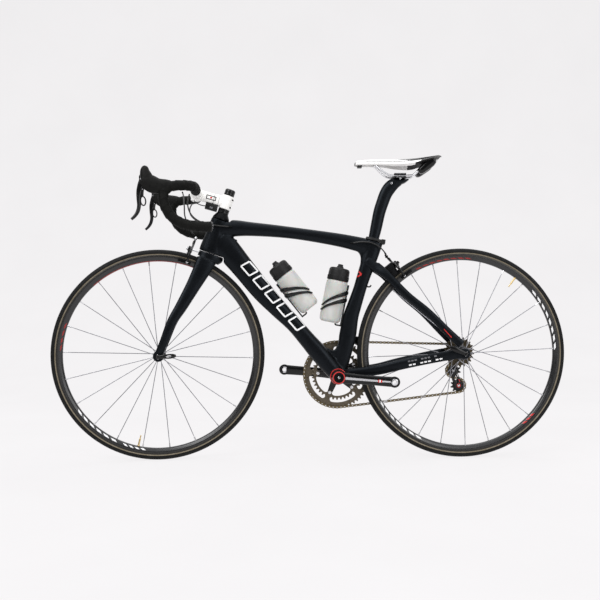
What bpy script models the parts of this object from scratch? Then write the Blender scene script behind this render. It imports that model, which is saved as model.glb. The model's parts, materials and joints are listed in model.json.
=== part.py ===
"""Road racing bicycle: carbon frame, steering assembly, wheels, drivetrain, brakes and bottles.

Metres. +X points to the rear wheel, -Y to the rider's left, +Z up. The ground is z = 0 and the
origin lies on it, midway between the wheel axles in the frame's centre plane.
The steering assembly is modelled straight ahead and then turned with its parent empty.
"""
import math

import bmesh
import bpy
from mathutils import Matrix, Quaternion, Vector

# ------------------------------------------------------------------ driving dimensions
GAP = 0.0003                       # clearance between pieces that touch
WHEELBASE = 0.9626
TYRE_RADIUS = 0.334                # 700 x 23C
TYRE_HALF_WIDTH = 0.0115
RIM_RADIUS = 0.3168                # top edge of the rim's side walls
RIM_INNER_RADIUS = 0.2965
RIM_HALF_WIDTH = 0.0102
PAD_RADIUS = 0.307                 # middle of the brake track
HEAD_ANGLE = math.radians(71.0)
FORK_OFFSET = 0.046
STEER_ANGLE = math.radians(6.34)   # the bars rest turned a little to the left
FRONT_HUB_HALF = 0.050             # half of 100 mm between the fork's dropouts
REAR_HUB_HALF = 0.065              # half of 130 mm between the rear dropouts
FREEHUB_FACE = 0.0240              # the hub ends and the freehub body begins here
BB = Vector((0.0854, 0.0, 0.2632))  # bottom bracket centre
CRANK_LENGTH = 0.1725
CRANK_ANGLE = math.radians(-4.77)  # left arm, above the rearward direction
CHAIN_PITCH = 0.0127
OUTER_TEETH = 53
INNER_TEETH = 39
COG_TEETH = 12                     # the sprocket that the chain is on
JOCKEY_TEETH = 11
CHAIN_HALF_HEIGHT = 0.0035
CHAIN_HALF_WIDTH = 0.0028
RING_Y = 0.0465                    # chain plane at the large chainring
COG_Y = 0.0545                     # chain plane at the sprocket and the jockey wheels
FRONT_SPOKES = 22
REAR_SPOKES = 24
WHEEL_SEGMENTS = 40
BAR_HALF_WIDTH = 0.205
BAR_RADIUS = 0.0148                # with tape
BOTTLE_RADIUS = 0.0348

FRONT_AXLE = Vector((-WHEELBASE / 2, 0.0, TYRE_RADIUS))
REAR_AXLE = Vector((WHEELBASE / 2, 0.0, TYRE_RADIUS))
STEER_UP = Vector((math.cos(HEAD_ANGLE), 0.0, math.sin(HEAD_ANGLE)))
STEER_BACK = Vector((math.sin(HEAD_ANGLE), 0.0, -math.cos(HEAD_ANGLE)))
STEER_BASE = FRONT_AXLE + STEER_BACK * FORK_OFFSET   # foot of the steering axis beside the axle
SIDEWAYS = Vector((0.0, 1.0, 0.0))

# heights along the steering axis, from its foot
CROWN_TOP = 0.3575
HEAD_TUBE_TOP = 0.4700
CONE_TOP = 0.4900
STEM_BOTTOM = 0.5055
STEM_TOP = 0.5495
CAP_TOP = 0.5710
STEERER_RADIUS = 0.0140
CROWN_SWEEP_RADIUS = 0.0495        # the crown's rear edge turns on this radius

RINGS = {}                         # parents of moving pieces, by name


# ------------------------------------------------------------------ small geometry helpers
def clear_scene():
    for obj in list(bpy.data.objects):
        bpy.data.objects.remove(obj, do_unlink=True)


def on_steer_axis(height, back=0.0, side=0.0):
    """A point given by its height along the steering axis and its distance behind it."""
    return STEER_BASE + STEER_UP * height + STEER_BACK * back + SIDEWAYS * side


def pitch_radius(teeth):
    return CHAIN_PITCH / (2.0 * math.sin(math.pi / teeth))


def catmull(points, steps):
    """Points on a smooth curve through the given tuples, with steps spans between each pair."""
    rows = [tuple(float(v) for v in p) for p in points]
    out = []
    for i in range(len(rows) - 1):
        before = rows[max(i - 1, 0)]
        after = rows[min(i + 2, len(rows) - 1)]
        for s in range(steps):
            t = s / steps
            row = []
            for a, b, c, d in zip(before, rows[i], rows[i + 1], after):
                bend = (2 * a - 5 * b + 4 * c - d) * t * t + (3 * b - a - 3 * c + d) * t ** 3
                row.append(0.5 * (2 * b + (c - a) * t + bend))
            out.append(tuple(row))
    out.append(rows[-1])
    return out


def material(name, color, roughness, metallic=0.0):
    mat = bpy.data.materials.new(name)
    mat.use_nodes = True
    shader = mat.node_tree.nodes["Principled BSDF"]
    shader.inputs["Base Color"].default_value = (*color, 1.0)
    shader.inputs["Roughness"].default_value = roughness
    shader.inputs["Metallic"].default_value = metallic
    return mat


def mesh_object(name, verts, faces):
    """An object in world coordinates, with its faces turned outwards."""
    mesh = bpy.data.meshes.new(name)
    mesh.from_pydata([tuple(v) for v in verts], [], faces)
    bm = bmesh.new()
    bm.from_mesh(mesh)
    bmesh.ops.recalc_face_normals(bm, faces=bm.faces)
    bm.to_mesh(mesh)
    bm.free()
    obj = bpy.data.objects.new(name, mesh)
    bpy.context.scene.collection.objects.link(obj)
    return obj


def loft(rings, name="loft", closed=False):
    """A solid skinned over rings of equal length, capped unless the rings close on themselves."""
    count = len(rings[0])
    verts = [v for ring in rings for v in ring]
    faces = []
    spans = len(rings) if closed else len(rings) - 1
    for i in range(spans):
        a = i * count
        b = ((i + 1) % len(rings)) * count
        for j in range(count):
            k = (j + 1) % count
            faces.append((a + j, a + k, b + k, b + j))
    if not closed:
        faces.append(tuple(range(count)))
        faces.append(tuple(range((len(rings) - 1) * count, len(rings) * count)))
    return mesh_object(name, verts, faces)


def oval_ring(center, u_axis, v_axis, u_half, v_half, sides, power=2.0):
    ring = []
    for i in range(sides):
        angle = 2 * math.pi * (i + 0.5) / sides
        cu, sv = math.cos(angle), math.sin(angle)
        u = math.copysign(abs(cu) ** (2 / power), cu) * u_half
        v = math.copysign(abs(sv) ** (2 / power), sv) * v_half
        ring.append(center + u_axis * u + v_axis * v)
    return ring


def blade(stations, sides=10, steps=2, power=2.4, grow=0.0):
    """An oval tube along (x, y, z, depth, width) stations that run mostly in the XZ plane."""
    rows = catmull(stations, steps) if steps > 1 else stations
    points = [Vector(r[:3]) for r in rows]
    rings = []
    for i, row in enumerate(rows):
        ahead = points[min(i + 1, len(points) - 1)]
        behind = points[max(i - 1, 0)]
        tangent = (ahead - behind).normalized()
        side = (SIDEWAYS - tangent * tangent.y).normalized()
        depth_axis = tangent.cross(side)
        rings.append(oval_ring(points[i], depth_axis, side, row[3] / 2 + grow,
                               row[4] / 2 + grow, sides, power))
    return loft(rings)


def sweep(points, radius, sides=8, flat=1.0, flat_axis=None):
    """A rod along points, round or squashed along flat_axis, with frames carried along it."""
    pts = [Vector(p) for p in points]
    first = (pts[1] - pts[0]).normalized()
    guess = flat_axis or (SIDEWAYS if abs(first.y) < 0.8 else Vector((0, 0, 1)))
    u_axis = (guess - first * guess.dot(first)).normalized()
    rings = []
    for i, p in enumerate(pts):
        tangent = (pts[min(i + 1, len(pts) - 1)] - pts[max(i - 1, 0)]).normalized()
        u_axis = (u_axis - tangent * u_axis.dot(tangent)).normalized()
        r = radius[i] if isinstance(radius, (list, tuple)) else radius
        rings.append(oval_ring(p, u_axis, tangent.cross(u_axis), r * flat, r, sides))
    return loft(rings)


def turn(profile, center, axis, segments, bore=0.0, start=0.0):
    """A turned piece: profile is (distance along axis, radius) from one end to the other.

    With a bore, the piece is a ring with a straight hole through it.
    """
    axis = Vector(axis).normalized()
    u_axis = axis.orthogonal().normalized() if abs(axis.y) < 0.99 else Vector((1, 0, 0))
    v_axis = axis.cross(u_axis)
    outline = list(profile)
    if bore:
        outline = [(profile[0][0], bore)] + outline + [(profile[-1][0], bore)]
    rings = []
    for i in range(segments):
        angle = start + 2 * math.pi * i / segments
        spoke = u_axis * math.cos(angle) + v_axis * math.sin(angle)
        rings.append([center + axis * h + spoke * r for h, r in outline])
    if bore:
        return loft(rings, closed=True)
    slices = [[rings[i][j] for i in range(segments)] for j in range(len(outline))]
    return loft(slices)


def plate(outline, y_low, y_high):
    """A flat plate: (x, z) outline carried from y_low to y_high."""
    low = [Vector((x, y_low, z)) for x, z in outline]
    high = [Vector((x, y_high, z)) for x, z in outline]
    return loft([low, high])


def link_outline(a, b, radius_a, radius_b, arc=5):
    """Outline of a link: round ends about the points a and b, joined by straight sides."""
    heading = math.atan2(b[1] - a[1], b[0] - a[0])
    out = []
    for center, radius, begin in ((a, radius_a, heading + math.pi / 2),
                                  (b, radius_b, heading - math.pi / 2)):
        for i in range(arc + 1):
            angle = begin + math.pi * i / arc
            out.append((center[0] + radius * math.cos(angle), center[1] + radius * math.sin(angle)))
    return out


def box(low, high):
    x0, y0, z0 = low
    x1, y1, z1 = high
    ends = [[Vector((x, y0, z0)), Vector((x, y1, z0)), Vector((x, y1, z1)), Vector((x, y0, z1))]
            for x in (x0, x1)]
    return loft(ends)


def mirrored(obj):
    """The same piece on the other side of the frame's centre plane."""
    mesh = obj.data.copy()
    mesh.transform(Matrix.Scale(-1.0, 4, SIDEWAYS))
    mesh.flip_normals()
    twin = bpy.data.objects.new(obj.name, mesh)
    bpy.context.scene.collection.objects.link(twin)
    return twin


def moved(obj, matrix):
    obj.data.transform(matrix)
    return obj


def combine(base, others, operation):
    """Apply exact Booleans to base and remove the other operands."""
    for other in others:
        modifier = base.modifiers.new(operation.lower(), "BOOLEAN")
        modifier.operation = operation
        modifier.solver = "EXACT"
        modifier.object = other
    bpy.context.view_layer.update()
    solid = bpy.data.meshes.new_from_object(base.evaluated_get(
        bpy.context.evaluated_depsgraph_get()))
    base.modifiers.clear()
    base.data = solid
    for other in others:
        bpy.data.objects.remove(other, do_unlink=True)
    return base


def join(base, *others):
    return combine(base, others, "UNION")


def cut(base, *cutters):
    return combine(base, cutters, "DIFFERENCE")


def node(obj, name, mat, parent="frame"):
    """Name a finished piece, give it its material and hang it on its parent empty."""
    empty = RINGS[parent]
    origin = Vector(empty["pivot"])
    obj.name = name
    obj.data.name = name
    obj.data.transform(Matrix.Translation(-origin))
    obj.data.materials.clear()
    obj.data.materials.append(mat)
    obj.data.shade_smooth()
    obj.data.set_sharp_from_angle(angle=math.radians(35))
    obj.parent = empty


def pivot_empty(name, pivot, parent=None):
    """An empty on a joint's axis. Pivots are given with the steering straight ahead."""
    empty = bpy.data.objects.new(name + "_pivot", None)
    bpy.context.scene.collection.objects.link(empty)
    empty["pivot"] = tuple(pivot)
    empty.location = pivot
    if parent:
        empty.parent = RINGS[parent]
        empty.location = pivot - Vector(RINGS[parent]["pivot"])
    RINGS[name] = empty
    return empty


# ------------------------------------------------------------------ frame
SEAT_TUBE = ((0.086, 0, 0.266, 0.050, 0.036), (0.1120, 0, 0.361, 0.052, 0.034),
             (0.1185, 0, 0.393, 0.055, 0.030), (0.1285, 0, 0.450, 0.050, 0.030),
             (0.1410, 0, 0.489, 0.046, 0.030), (0.1570, 0, 0.537, 0.042, 0.030),
             (0.1690, 0, 0.575, 0.043, 0.031), (0.1895, 0, 0.635, 0.049, 0.033),
             (0.2040, 0, 0.690, 0.048, 0.034))
DOWN_TUBE = ((-0.290, 0, 0.700, 0.074, 0.044), (-0.262, 0, 0.668, 0.078, 0.047),
             (-0.2145, 0, 0.6095, 0.0715, 0.046), (-0.156, 0, 0.537, 0.067, 0.044),
             (-0.104, 0, 0.480, 0.058, 0.044), (-0.0525, 0, 0.4275, 0.051, 0.046),
             (-0.0105, 0, 0.378, 0.053, 0.052), (0.028, 0, 0.333, 0.058, 0.060),
             (0.079, 0, 0.272, 0.052, 0.066))
TOP_TUBE = ((-0.280, 0, 0.735, 0.055, 0.044), (-0.235, 0, 0.736, 0.052, 0.042),
            (-0.191, 0, 0.7335, 0.045, 0.038), (-0.110, 0, 0.7265, 0.0395, 0.034),
            (-0.032, 0, 0.717, 0.0375, 0.032), (0.064, 0, 0.702, 0.041, 0.030),
            (0.128, 0, 0.6895, 0.045, 0.030), (0.198, 0, 0.672, 0.052, 0.030))
BB_SHELL_RADIUS = 0.0265
BB_SHELL_HALF = 0.034
BB_BORE = 0.0190
SEATPOST = ((0.1875, 0, 0.6400, 0.0330, 0.0230), (0.2030, 0, 0.6990, 0.0340, 0.0240),
            (0.2115, 0, 0.7350, 0.0370, 0.0240), (0.2225, 0, 0.7850, 0.0390, 0.0240),
            (0.2330, 0, 0.8170, 0.0400, 0.0245), (0.2430, 0, 0.8430, 0.0410, 0.0255),
            (0.2550, 0, 0.8620, 0.0420, 0.0270), (0.2705, 0, 0.8770, 0.0380, 0.0300),
            (0.2860, 0, 0.8860, 0.0320, 0.0320))
SADDLE_CLAMP = Vector((0.287, 0.0, 0.899))
RAIL_Y = 0.0220
RAIL_RADIUS = 0.0035
TUBE_SIDES = 10


def seat_tube(grow=0.0):
    return blade(SEAT_TUBE, TUBE_SIDES, 1, 2.5, grow)


def bb_shell(grow=0.0):
    half = BB_SHELL_HALF + grow
    return turn(((-half, BB_SHELL_RADIUS + grow), (half, BB_SHELL_RADIUS + grow)),
                BB, SIDEWAYS, 20)


def down_tube(grow=0.0):
    return blade(DOWN_TUBE, TUBE_SIDES, 1, 2.6, grow)


def head_tube():
    """Deep oval at the bottom, where the crown meets it, and rounder at the top."""
    rings = []
    for height, front, back, half in ((0.345, 0.033, 0.046, 0.0265), (0.372, 0.035, 0.044, 0.0255),
                                      (0.420, 0.031, 0.032, 0.0235),
                                      (HEAD_TUBE_TOP + 0.003, 0.029, 0.026, 0.0225)):
        center = on_steer_axis(height, (back - front) / 2)
        rings.append(oval_ring(center, STEER_BACK, SIDEWAYS, (front + back) / 2, half, 16, 2.2))
    return loft(rings)


def steer_cylinder(radius, low, high, segments=20):
    return turn(((low, radius), (high, radius)), STEER_BASE, STEER_UP, segments)


def seatpost_solid(grow=0.0):
    rows = list(SEATPOST)
    if grow:
        x, y, z = rows[0][:3]
        rows[0] = (x - 0.0001, y, z - 0.0004, *rows[0][3:])
        rows = rows[:4]
    return blade(rows, 12, 1, 2.3, grow)


def build_front_triangle(carbon):
    body = join(down_tube(), blade(TOP_TUBE, TUBE_SIDES, 1, 2.4), seat_tube(), head_tube(),
                bb_shell(), box(*FD_TAB))
    bearing_bore = steer_cylinder(STEERER_RADIUS + GAP, 0.30, 0.50, 16)
    crown_space = steer_cylinder(CROWN_SWEEP_RADIUS + 0.0030, 0.28, CROWN_TOP + GAP, 28)
    spindle_bore = turn(((-0.05, BB_BORE), (0.05, BB_BORE)), BB, SIDEWAYS, 16)
    wheel_space = turn(((-0.03, TYRE_RADIUS + 0.006), (0.03, TYRE_RADIUS + 0.006)),
                       REAR_AXLE, SIDEWAYS, 40)
    above_head = steer_cylinder(0.0340, HEAD_TUBE_TOP, 0.530)
    cut(body, bearing_bore, crown_space, above_head, spindle_bore, seatpost_solid(GAP), wheel_space)
    node(body, "front_triangle", carbon)


SEATSTAY = ((0.1800, 0.009, 0.6330, 0.032, 0.018), (0.2080, 0.0165, 0.6080, 0.030, 0.016),
            (0.2418, 0.0280, 0.5830, 0.027, 0.014), (0.3038, 0.0400, 0.5186, 0.025, 0.013),
            (0.3668, 0.0500, 0.4656, 0.025, 0.012), (0.4298, 0.0600, 0.4016, 0.026, 0.012),
            (0.4700, 0.0672, 0.3620, 0.028, 0.009))
CHAINSTAY = ((0.0950, 0.0200, 0.2700, 0.030, 0.018), (0.1500, 0.0255, 0.2750, 0.031, 0.016),
             (0.2160, 0.0330, 0.2835, 0.032, 0.015), (0.2790, 0.0420, 0.2985, 0.032, 0.014),
             (0.3420, 0.0510, 0.3120, 0.031, 0.013), (0.4055, 0.0600, 0.3245, 0.031, 0.011),
             (0.4550, 0.0676, 0.3325, 0.030, 0.0070), (0.4740, 0.0684, 0.3340, 0.027, 0.0050))
DROPOUT_RADIUS = 0.0160
DROPOUT_FACE = 0.0712
HANGER_BOLT = Vector((0.4905, 0.0, 0.3065))


def build_seatstays(carbon):
    left = blade(SEATSTAY, 8, 1, 2.4)
    right = mirrored(left)
    bridge = box((0.2050, -0.0240, 0.5880), (0.2440, 0.0240, 0.6120))
    body = join(left, right, bridge, brake_bolt(REAR_BRAKE, 0.036))
    wheel_space = turn(((-0.019, TYRE_RADIUS + 0.007), (0.019, TYRE_RADIUS + 0.007)),
                       REAR_AXLE, SIDEWAYS, 40)
    axle_space = turn(((-0.08, DROPOUT_RADIUS + GAP), (0.08, DROPOUT_RADIUS + GAP)),
                      REAR_AXLE, SIDEWAYS, 24)
    stays = [blade([(x, s * y, z, d, w) for x, y, z, d, w in CHAINSTAY], 8, 1, 2.4, GAP)
             for s in (-1, 1)]
    cut(body, wheel_space, axle_space, seat_tube(GAP), *stays)
    node(body, "seatstays", carbon)


def build_chainstays(carbon):
    left = blade([(x, -y, z, d, w) for x, y, z, d, w in CHAINSTAY], 8, 1, 2.4)
    right = mirrored(left)
    yoke = box((0.0930, -0.0270, 0.2585), (0.1340, 0.0270, 0.2840))
    center = (REAR_AXLE.x, REAR_AXLE.z)
    hanger = (HANGER_BOLT.x, HANGER_BOLT.z)
    left_end = turn(((REAR_HUB_HALF, DROPOUT_RADIUS), (DROPOUT_FACE, DROPOUT_RADIUS)),
                    REAR_AXLE, -SIDEWAYS, 20)
    right_end = plate(link_outline(center, hanger, DROPOUT_RADIUS, 0.0085),
                      REAR_HUB_HALF, DROPOUT_FACE)
    boss = turn(((DROPOUT_FACE - 0.001, 0.0100), (0.0830, 0.0095)), HANGER_BOLT, SIDEWAYS, 14)
    body = join(left, right, yoke, left_end, right_end, boss)
    wheel_space = turn(((-0.0165, TYRE_RADIUS + 0.005), (0.0165, TYRE_RADIUS + 0.005)),
                       REAR_AXLE, SIDEWAYS, 40)
    axle_hole = turn(((-0.1, 0.0030), (0.1, 0.0030)), REAR_AXLE, SIDEWAYS, 8)
    hub_space = turn(((-REAR_HUB_HALF - GAP, 0.019), (REAR_HUB_HALF + GAP, 0.019)),
                     REAR_AXLE, SIDEWAYS, 20)
    cut(body, wheel_space, axle_hole, hub_space, bb_shell(GAP), seat_tube(GAP), down_tube(GAP))
    node(body, "chainstays", carbon)


def build_seatpost(carbon, clamp_mat):
    post = seatpost_solid()
    node(post, "seatpost", carbon)
    # the collar sits on the seat cluster, around the post
    x, z = 0.2064, 0.7085
    stations = ((x - 0.0014, 0, z - 0.0050, 0.052, 0.0370), (x + 0.0014, 0, z + 0.0050, 0.048, 0.0350))
    collar = blade(stations, 14, 1, 2.3)
    cut(collar, seatpost_solid(GAP))
    node(collar, "seat_collar", clamp_mat)


def build_saddle(mats):
    rails = []
    rail_path = ((0.2070, 0.9165), (0.2200, 0.9110), (0.2390, 0.9035), (0.2560, 0.8995),
                 (0.2870, 0.8990), (0.3150, 0.8995), (0.3300, 0.9050), (0.3480, 0.9165))
    for side in (-1, 1):
        rails.append(sweep([(x, side * RAIL_Y, z) for x, z in rail_path], RAIL_RADIUS, 8))
    nose_bar = sweep([(0.2120, y, 0.9140) for y in (-RAIL_Y, 0.0, RAIL_Y)], RAIL_RADIUS * 0.98, 8)
    node(join(rails[0], rails[1], nose_bar), "saddle_rails", mats["silver"])

    cradle = box(SADDLE_CLAMP - Vector((0.019, 0.0290, 0.0085)),
                 SADDLE_CLAMP + Vector((0.019, 0.0290, 0.0075)))
    grooves = [sweep([(x, side * RAIL_Y, 0.8990) for x in (0.262, 0.2870, 0.312)],
                     RAIL_RADIUS + 2 * GAP, 8) for side in (-1, 1)]
    waist = box((0.27, -0.015, 0.9015), (0.305, 0.015, 0.92))
    cut(cradle, *grooves, waist, seatpost_solid_head())
    node(cradle, "saddle_clamp", mats["black_metal"])

    outline = ((0.144, 0.010), (0.151, 0.018), (0.180, 0.0215), (0.230, 0.0255), (0.270, 0.0350),
               (0.310, 0.0500), (0.350, 0.0625), (0.385, 0.0670), (0.406, 0.0610), (0.4165, 0.0400))
    tops = (0.9400, 0.9480, 0.9520, 0.9530, 0.9530, 0.9530, 0.9550, 0.9590, 0.9620, 0.9600)
    lows = (0.9300, 0.9275, 0.9265, 0.9265, 0.9265, 0.9265, 0.9290, 0.9340, 0.9400, 0.9460)
    pad_rings = []
    for (x, half), top, low in zip(outline, tops, lows):
        ring = []
        for i in range(9):
            y = half * (-1 + i / 4)
            drop = (top - low) * 0.75 * abs(y / half) ** 3.2
            ring.append(Vector((x, y, top - drop)))
        for i in range(4, -5, -4):
            ring.append(Vector((x, half * 0.92 * i / 4, low)))
        pad_rings.append(ring)
    node(loft(pad_rings), "saddle_pad", mats["saddle_white"])

    shell_rings = []
    for (x, half), low in zip(outline[1:-1], lows[1:-1]):
        shell_rings.append([Vector((x, y * half, low - GAP - depth))
                            for y, depth in ((-0.88, 0.0), (0.0, 0.0), (0.88, 0.0),
                                             (0.80, 0.0045), (0.0, 0.0060), (-0.80, 0.0045))])
    node(loft(shell_rings), "saddle_shell", mats["black_plastic"])


def seatpost_solid_head():
    """The top of the post, grown a little, to seat the clamp on it."""
    return blade(SEATPOST[5:], 12, 1, 2.3, GAP)


def build_bottom_bracket(mat):
    profile = ((BB_SHELL_HALF + GAP, 0.0225), (0.0385, 0.0225), (0.0398, 0.0195))
    for name, side in (("bb_cup_left", -1), ("bb_cup_right", 1)):
        cup = turn(profile, BB, SIDEWAYS * side, 20, bore=0.0123)
        node(cup, name, mat)


# ------------------------------------------------------------------ steering assembly
FORK_BLADE = ((-0.3300, 0.0200, 0.6350, 0.062, 0.024), (-0.3400, 0.0245, 0.6140, 0.058, 0.020),
              (-0.3740, 0.0310, 0.5515, 0.0445, 0.018), (-0.4120, 0.0390, 0.4856, 0.036, 0.017),
              (-0.4398, 0.0460, 0.4400, 0.030, 0.015), (-0.4640, 0.0525, 0.3790, 0.026, 0.012),
              (-0.4800, 0.0540, 0.3400, 0.026, 0.0072))
BAR_CLAMP = Vector((-0.360, 0.0, 0.8430))
STEM_CLAMP_HALF = 0.0205


def build_fork(carbon):
    left = blade([(x, -y, z, d, w) for x, y, z, d, w in FORK_BLADE], 8, 1, 2.4)
    right = mirrored(left)
    rings = []
    for height, front, back, half in ((CROWN_TOP, 0.033, 0.0460, 0.0265),
                                      (0.342, 0.034, 0.0470, 0.0275), (0.322, 0.035, 0.0300, 0.0270),
                                      (0.300, 0.034, 0.0200, 0.0260)):
        center = on_steer_axis(height, (back - front) / 2)
        rings.append(oval_ring(center, STEER_BACK, SIDEWAYS, (front + back) / 2, half, 14, 2.3))
    crown = loft(rings)
    steerer = steer_cylinder(STEERER_RADIUS, 0.350, STEM_TOP - 0.0020, 16)
    tips = []
    for side in (-1, 1):
        tips.append(turn(((FRONT_HUB_HALF + GAP, 0.0165), (0.0572, 0.0165)), FRONT_AXLE,
                         SIDEWAYS * side, 16))
    body = join(crown, left, right, steerer, *tips, brake_bolt(FRONT_BRAKE, 0.030))
    wheel_space = turn(((-0.0170, TYRE_RADIUS + 0.0065), (0.0170, TYRE_RADIUS + 0.0065)),
                       FRONT_AXLE, SIDEWAYS, 40)
    hub_space = turn(((-FRONT_HUB_HALF - GAP, 0.024), (FRONT_HUB_HALF + GAP, 0.024)),
                     FRONT_AXLE, SIDEWAYS, 20)
    axle_hole = turn(((-0.08, 0.0030), (0.08, 0.0030)), FRONT_AXLE, SIDEWAYS, 8)
    cut(body, wheel_space, hub_space, axle_hole)
    node(body, "fork", carbon, "steering")


def build_headset(mats):
    rings = ((HEAD_TUBE_TOP + GAP, 0.0275), (HEAD_TUBE_TOP + 0.006, 0.0262), (CONE_TOP, 0.0178),
             (STEM_BOTTOM - GAP, 0.0176))
    spacers = turn(rings, STEER_BASE, STEER_UP, 20, bore=STEERER_RADIUS + GAP)
    node(spacers, "headset_spacers", mats["black_metal"], "steering")
    cap = turn(((STEM_TOP + GAP, 0.0165), (CAP_TOP - 0.003, 0.0160), (CAP_TOP, 0.0130)),
               STEER_BASE, STEER_UP, 20)
    node(cap, "stem_top_cap", mats["black_metal"], "steering")


def build_stem(mats):
    middle = (STEM_BOTTOM + STEM_TOP) / 2
    rear = turn(((STEM_BOTTOM, 0.0190), (STEM_TOP, 0.0190)), STEER_BASE, STEER_UP, 20)
    joint_point = on_steer_axis(middle)
    heading = (BAR_CLAMP - joint_point).normalized()
    clamp = turn(((-STEM_CLAMP_HALF, 0.0205), (STEM_CLAMP_HALF, 0.0205)), BAR_CLAMP, SIDEWAYS, 20)
    upright = heading.cross(SIDEWAYS)
    rings = [oval_ring(joint_point + heading * d, upright, SIDEWAYS, h, w, 12, 2.6)
             for d, h, w in ((0.004, 0.0195, 0.0170), (0.040, 0.0165, 0.0155),
                             (0.090, 0.0170, 0.0180))]
    body = join(loft(rings), rear, clamp)
    steerer_bore = steer_cylinder(STEERER_RADIUS + GAP, 0.48, 0.60, 16)
    bar_bore = turn(((-0.06, 0.0159), (0.06, 0.0159)), BAR_CLAMP, SIDEWAYS, 16)
    front_half = BAR_CLAMP + heading * 0.0303
    split = moved(box((-0.03, -0.05, -0.05), (0.03, 0.05, 0.05)),
                  Matrix.Translation(front_half) @ heading_matrix(heading))
    cut(body, steerer_bore, bar_bore, split)
    node(body, "stem", mats["stem_white"], "steering")

    face = turn(((-STEM_CLAMP_HALF, 0.0205), (STEM_CLAMP_HALF, 0.0205)), BAR_CLAMP, SIDEWAYS, 20)
    bar_bore = turn(((-0.06, 0.0159), (0.06, 0.0159)), BAR_CLAMP, SIDEWAYS, 16)
    split = moved(box((-0.06, -0.05, -0.05), (0.0006, 0.05, 0.05)),
                  Matrix.Translation(BAR_CLAMP) @ heading_matrix(heading))
    cut(face, bar_bore, split)
    node(face, "stem_faceplate", mats["stem_white"], "steering")


def heading_matrix(heading):
    """Turns local X to the heading, and keeps Y sideways."""
    upright = heading.cross(SIDEWAYS)
    return Matrix((heading, SIDEWAYS, upright)).transposed().to_4x4()


BAR_PATH = ((-0.3600, 0.0340, 0.8430), (-0.3600, 0.0800, 0.8450), (-0.3615, 0.1300, 0.8470),
            (-0.3660, 0.1680, 0.8470), (-0.3830, 0.1960, 0.8465), (-0.4100, 0.2050, 0.8450),
            (-0.4330, 0.2060, 0.8400), (-0.4480, 0.2070, 0.8240), (-0.4490, 0.2080, 0.8020),
            (-0.4420, 0.2090, 0.7790), (-0.4300, 0.2090, 0.7590), (-0.4130, 0.2100, 0.7440),
            (-0.3900, 0.2100, 0.7335), (-0.3600, 0.2100, 0.7280), (-0.3130, 0.2100, 0.7255))


def bar_solid(radius, first=0, last=None):
    return sweep(BAR_PATH[first:last], radius, 10)


def build_handlebar(mats):
    stations = ((-0.0328, 0.0130), (-0.0250, 0.0152), (0.0250, 0.0152), (0.0328, 0.0130))
    node(turn(stations, BAR_CLAMP, SIDEWAYS, 16), "handlebar", mats["black_metal"], "steering")
    for name, side in (("bar_tape_left", -1), ("bar_tape_right", 1)):
        tape = bar_solid(BAR_RADIUS)
        if side < 0:
            tape = mirrored_away(tape)
        node(tape, name, mats["tape"], "steering")


def mirrored_away(obj):
    twin = mirrored(obj)
    bpy.data.objects.remove(obj, do_unlink=True)
    return twin


HOOD = ((-0.4520, 0.2065, 0.8430, 0.040, 0.030), (-0.4650, 0.2065, 0.8420, 0.046, 0.033),
        (-0.4800, 0.2060, 0.8470, 0.050, 0.034), (-0.4950, 0.2055, 0.8560, 0.046, 0.032),
        (-0.5060, 0.2050, 0.8640, 0.036, 0.028))
HORN = ((-0.4920, 0.2050, 0.8560, 0.034, 0.030), (-0.4975, 0.2045, 0.8720, 0.032, 0.029),
        (-0.5005, 0.2035, 0.8860, 0.026, 0.026), (-0.4985, 0.2030, 0.8985, 0.016, 0.018))
LEVER_PIVOT = Vector((-0.5080, 0.2050, 0.8630))
LEVER = ((-0.5090, 0.2050, 0.8610, 0.010, 0.009), (-0.5130, 0.2050, 0.8520, 0.014, 0.010),
         (-0.5165, 0.2050, 0.8400, 0.014, 0.011), (-0.5200, 0.2050, 0.8240, 0.012, 0.012),
         (-0.5205, 0.2060, 0.8060, 0.011, 0.013),
         (-0.5190, 0.2080, 0.7850, 0.010, 0.014), (-0.5225, 0.2095, 0.7680, 0.010, 0.014),
         (-0.5300, 0.2110, 0.7550, 0.009, 0.013), (-0.5395, 0.2120, 0.7460, 0.007, 0.010))
PADDLE_PIVOT = Vector((-0.5085, 0.2040, 0.8330))
PADDLE = ((-0.5085, 0.2040, 0.8280, 0.008, 0.007), (-0.5070, 0.2020, 0.8160, 0.006, 0.007),
          (-0.5045, 0.1990, 0.8040, 0.005, 0.011), (-0.5035, 0.1965, 0.7950, 0.005, 0.014),
          (-0.5065, 0.1955, 0.7870, 0.005, 0.012))


def handed(stations, side):
    return [(x, side * y, z, d, w) for x, y, z, d, w in stations]


def build_controls(mats):
    for name, side in (("left", -1), ("right", 1)):
        hood = join(blade(handed(HOOD, side), 10, 1, 2.3), blade(handed(HORN, side), 8, 1, 2.3))
        tape = sweep([(x, side * y, z) for x, y, z in BAR_PATH], BAR_RADIUS + GAP, 10)
        pivot = Vector((LEVER_PIVOT.x, side * LEVER_PIVOT.y, LEVER_PIVOT.z))
        slot = box(pivot + Vector((-0.020, -0.0070, -0.030)), pivot + Vector((0.0105, 0.0070, 0.008)))
        cut(hood, tape, slot)
        node(hood, f"hood_{name}", mats["hood"], "steering")

        pivot_empty(f"lever_{name}", pivot, "steering")
        head = turn(((-0.0062, 0.0062), (0.0062, 0.0062)), pivot, SIDEWAYS, 10)
        lever = join(blade(handed(LEVER, side), 8, 1, 2.2), head)
        node(lever, f"brake_lever_{name}", mats["gloss_black"], f"lever_{name}")

        hinge = Vector((PADDLE_PIVOT.x, side * PADDLE_PIVOT.y, PADDLE_PIVOT.z))
        pivot_empty(f"paddle_{name}", hinge, f"lever_{name}")
        paddle = blade(handed(PADDLE, side), 8, 1, 2.2)
        node(paddle, f"shift_paddle_{name}", mats["gloss_black"], f"paddle_{name}")


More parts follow.
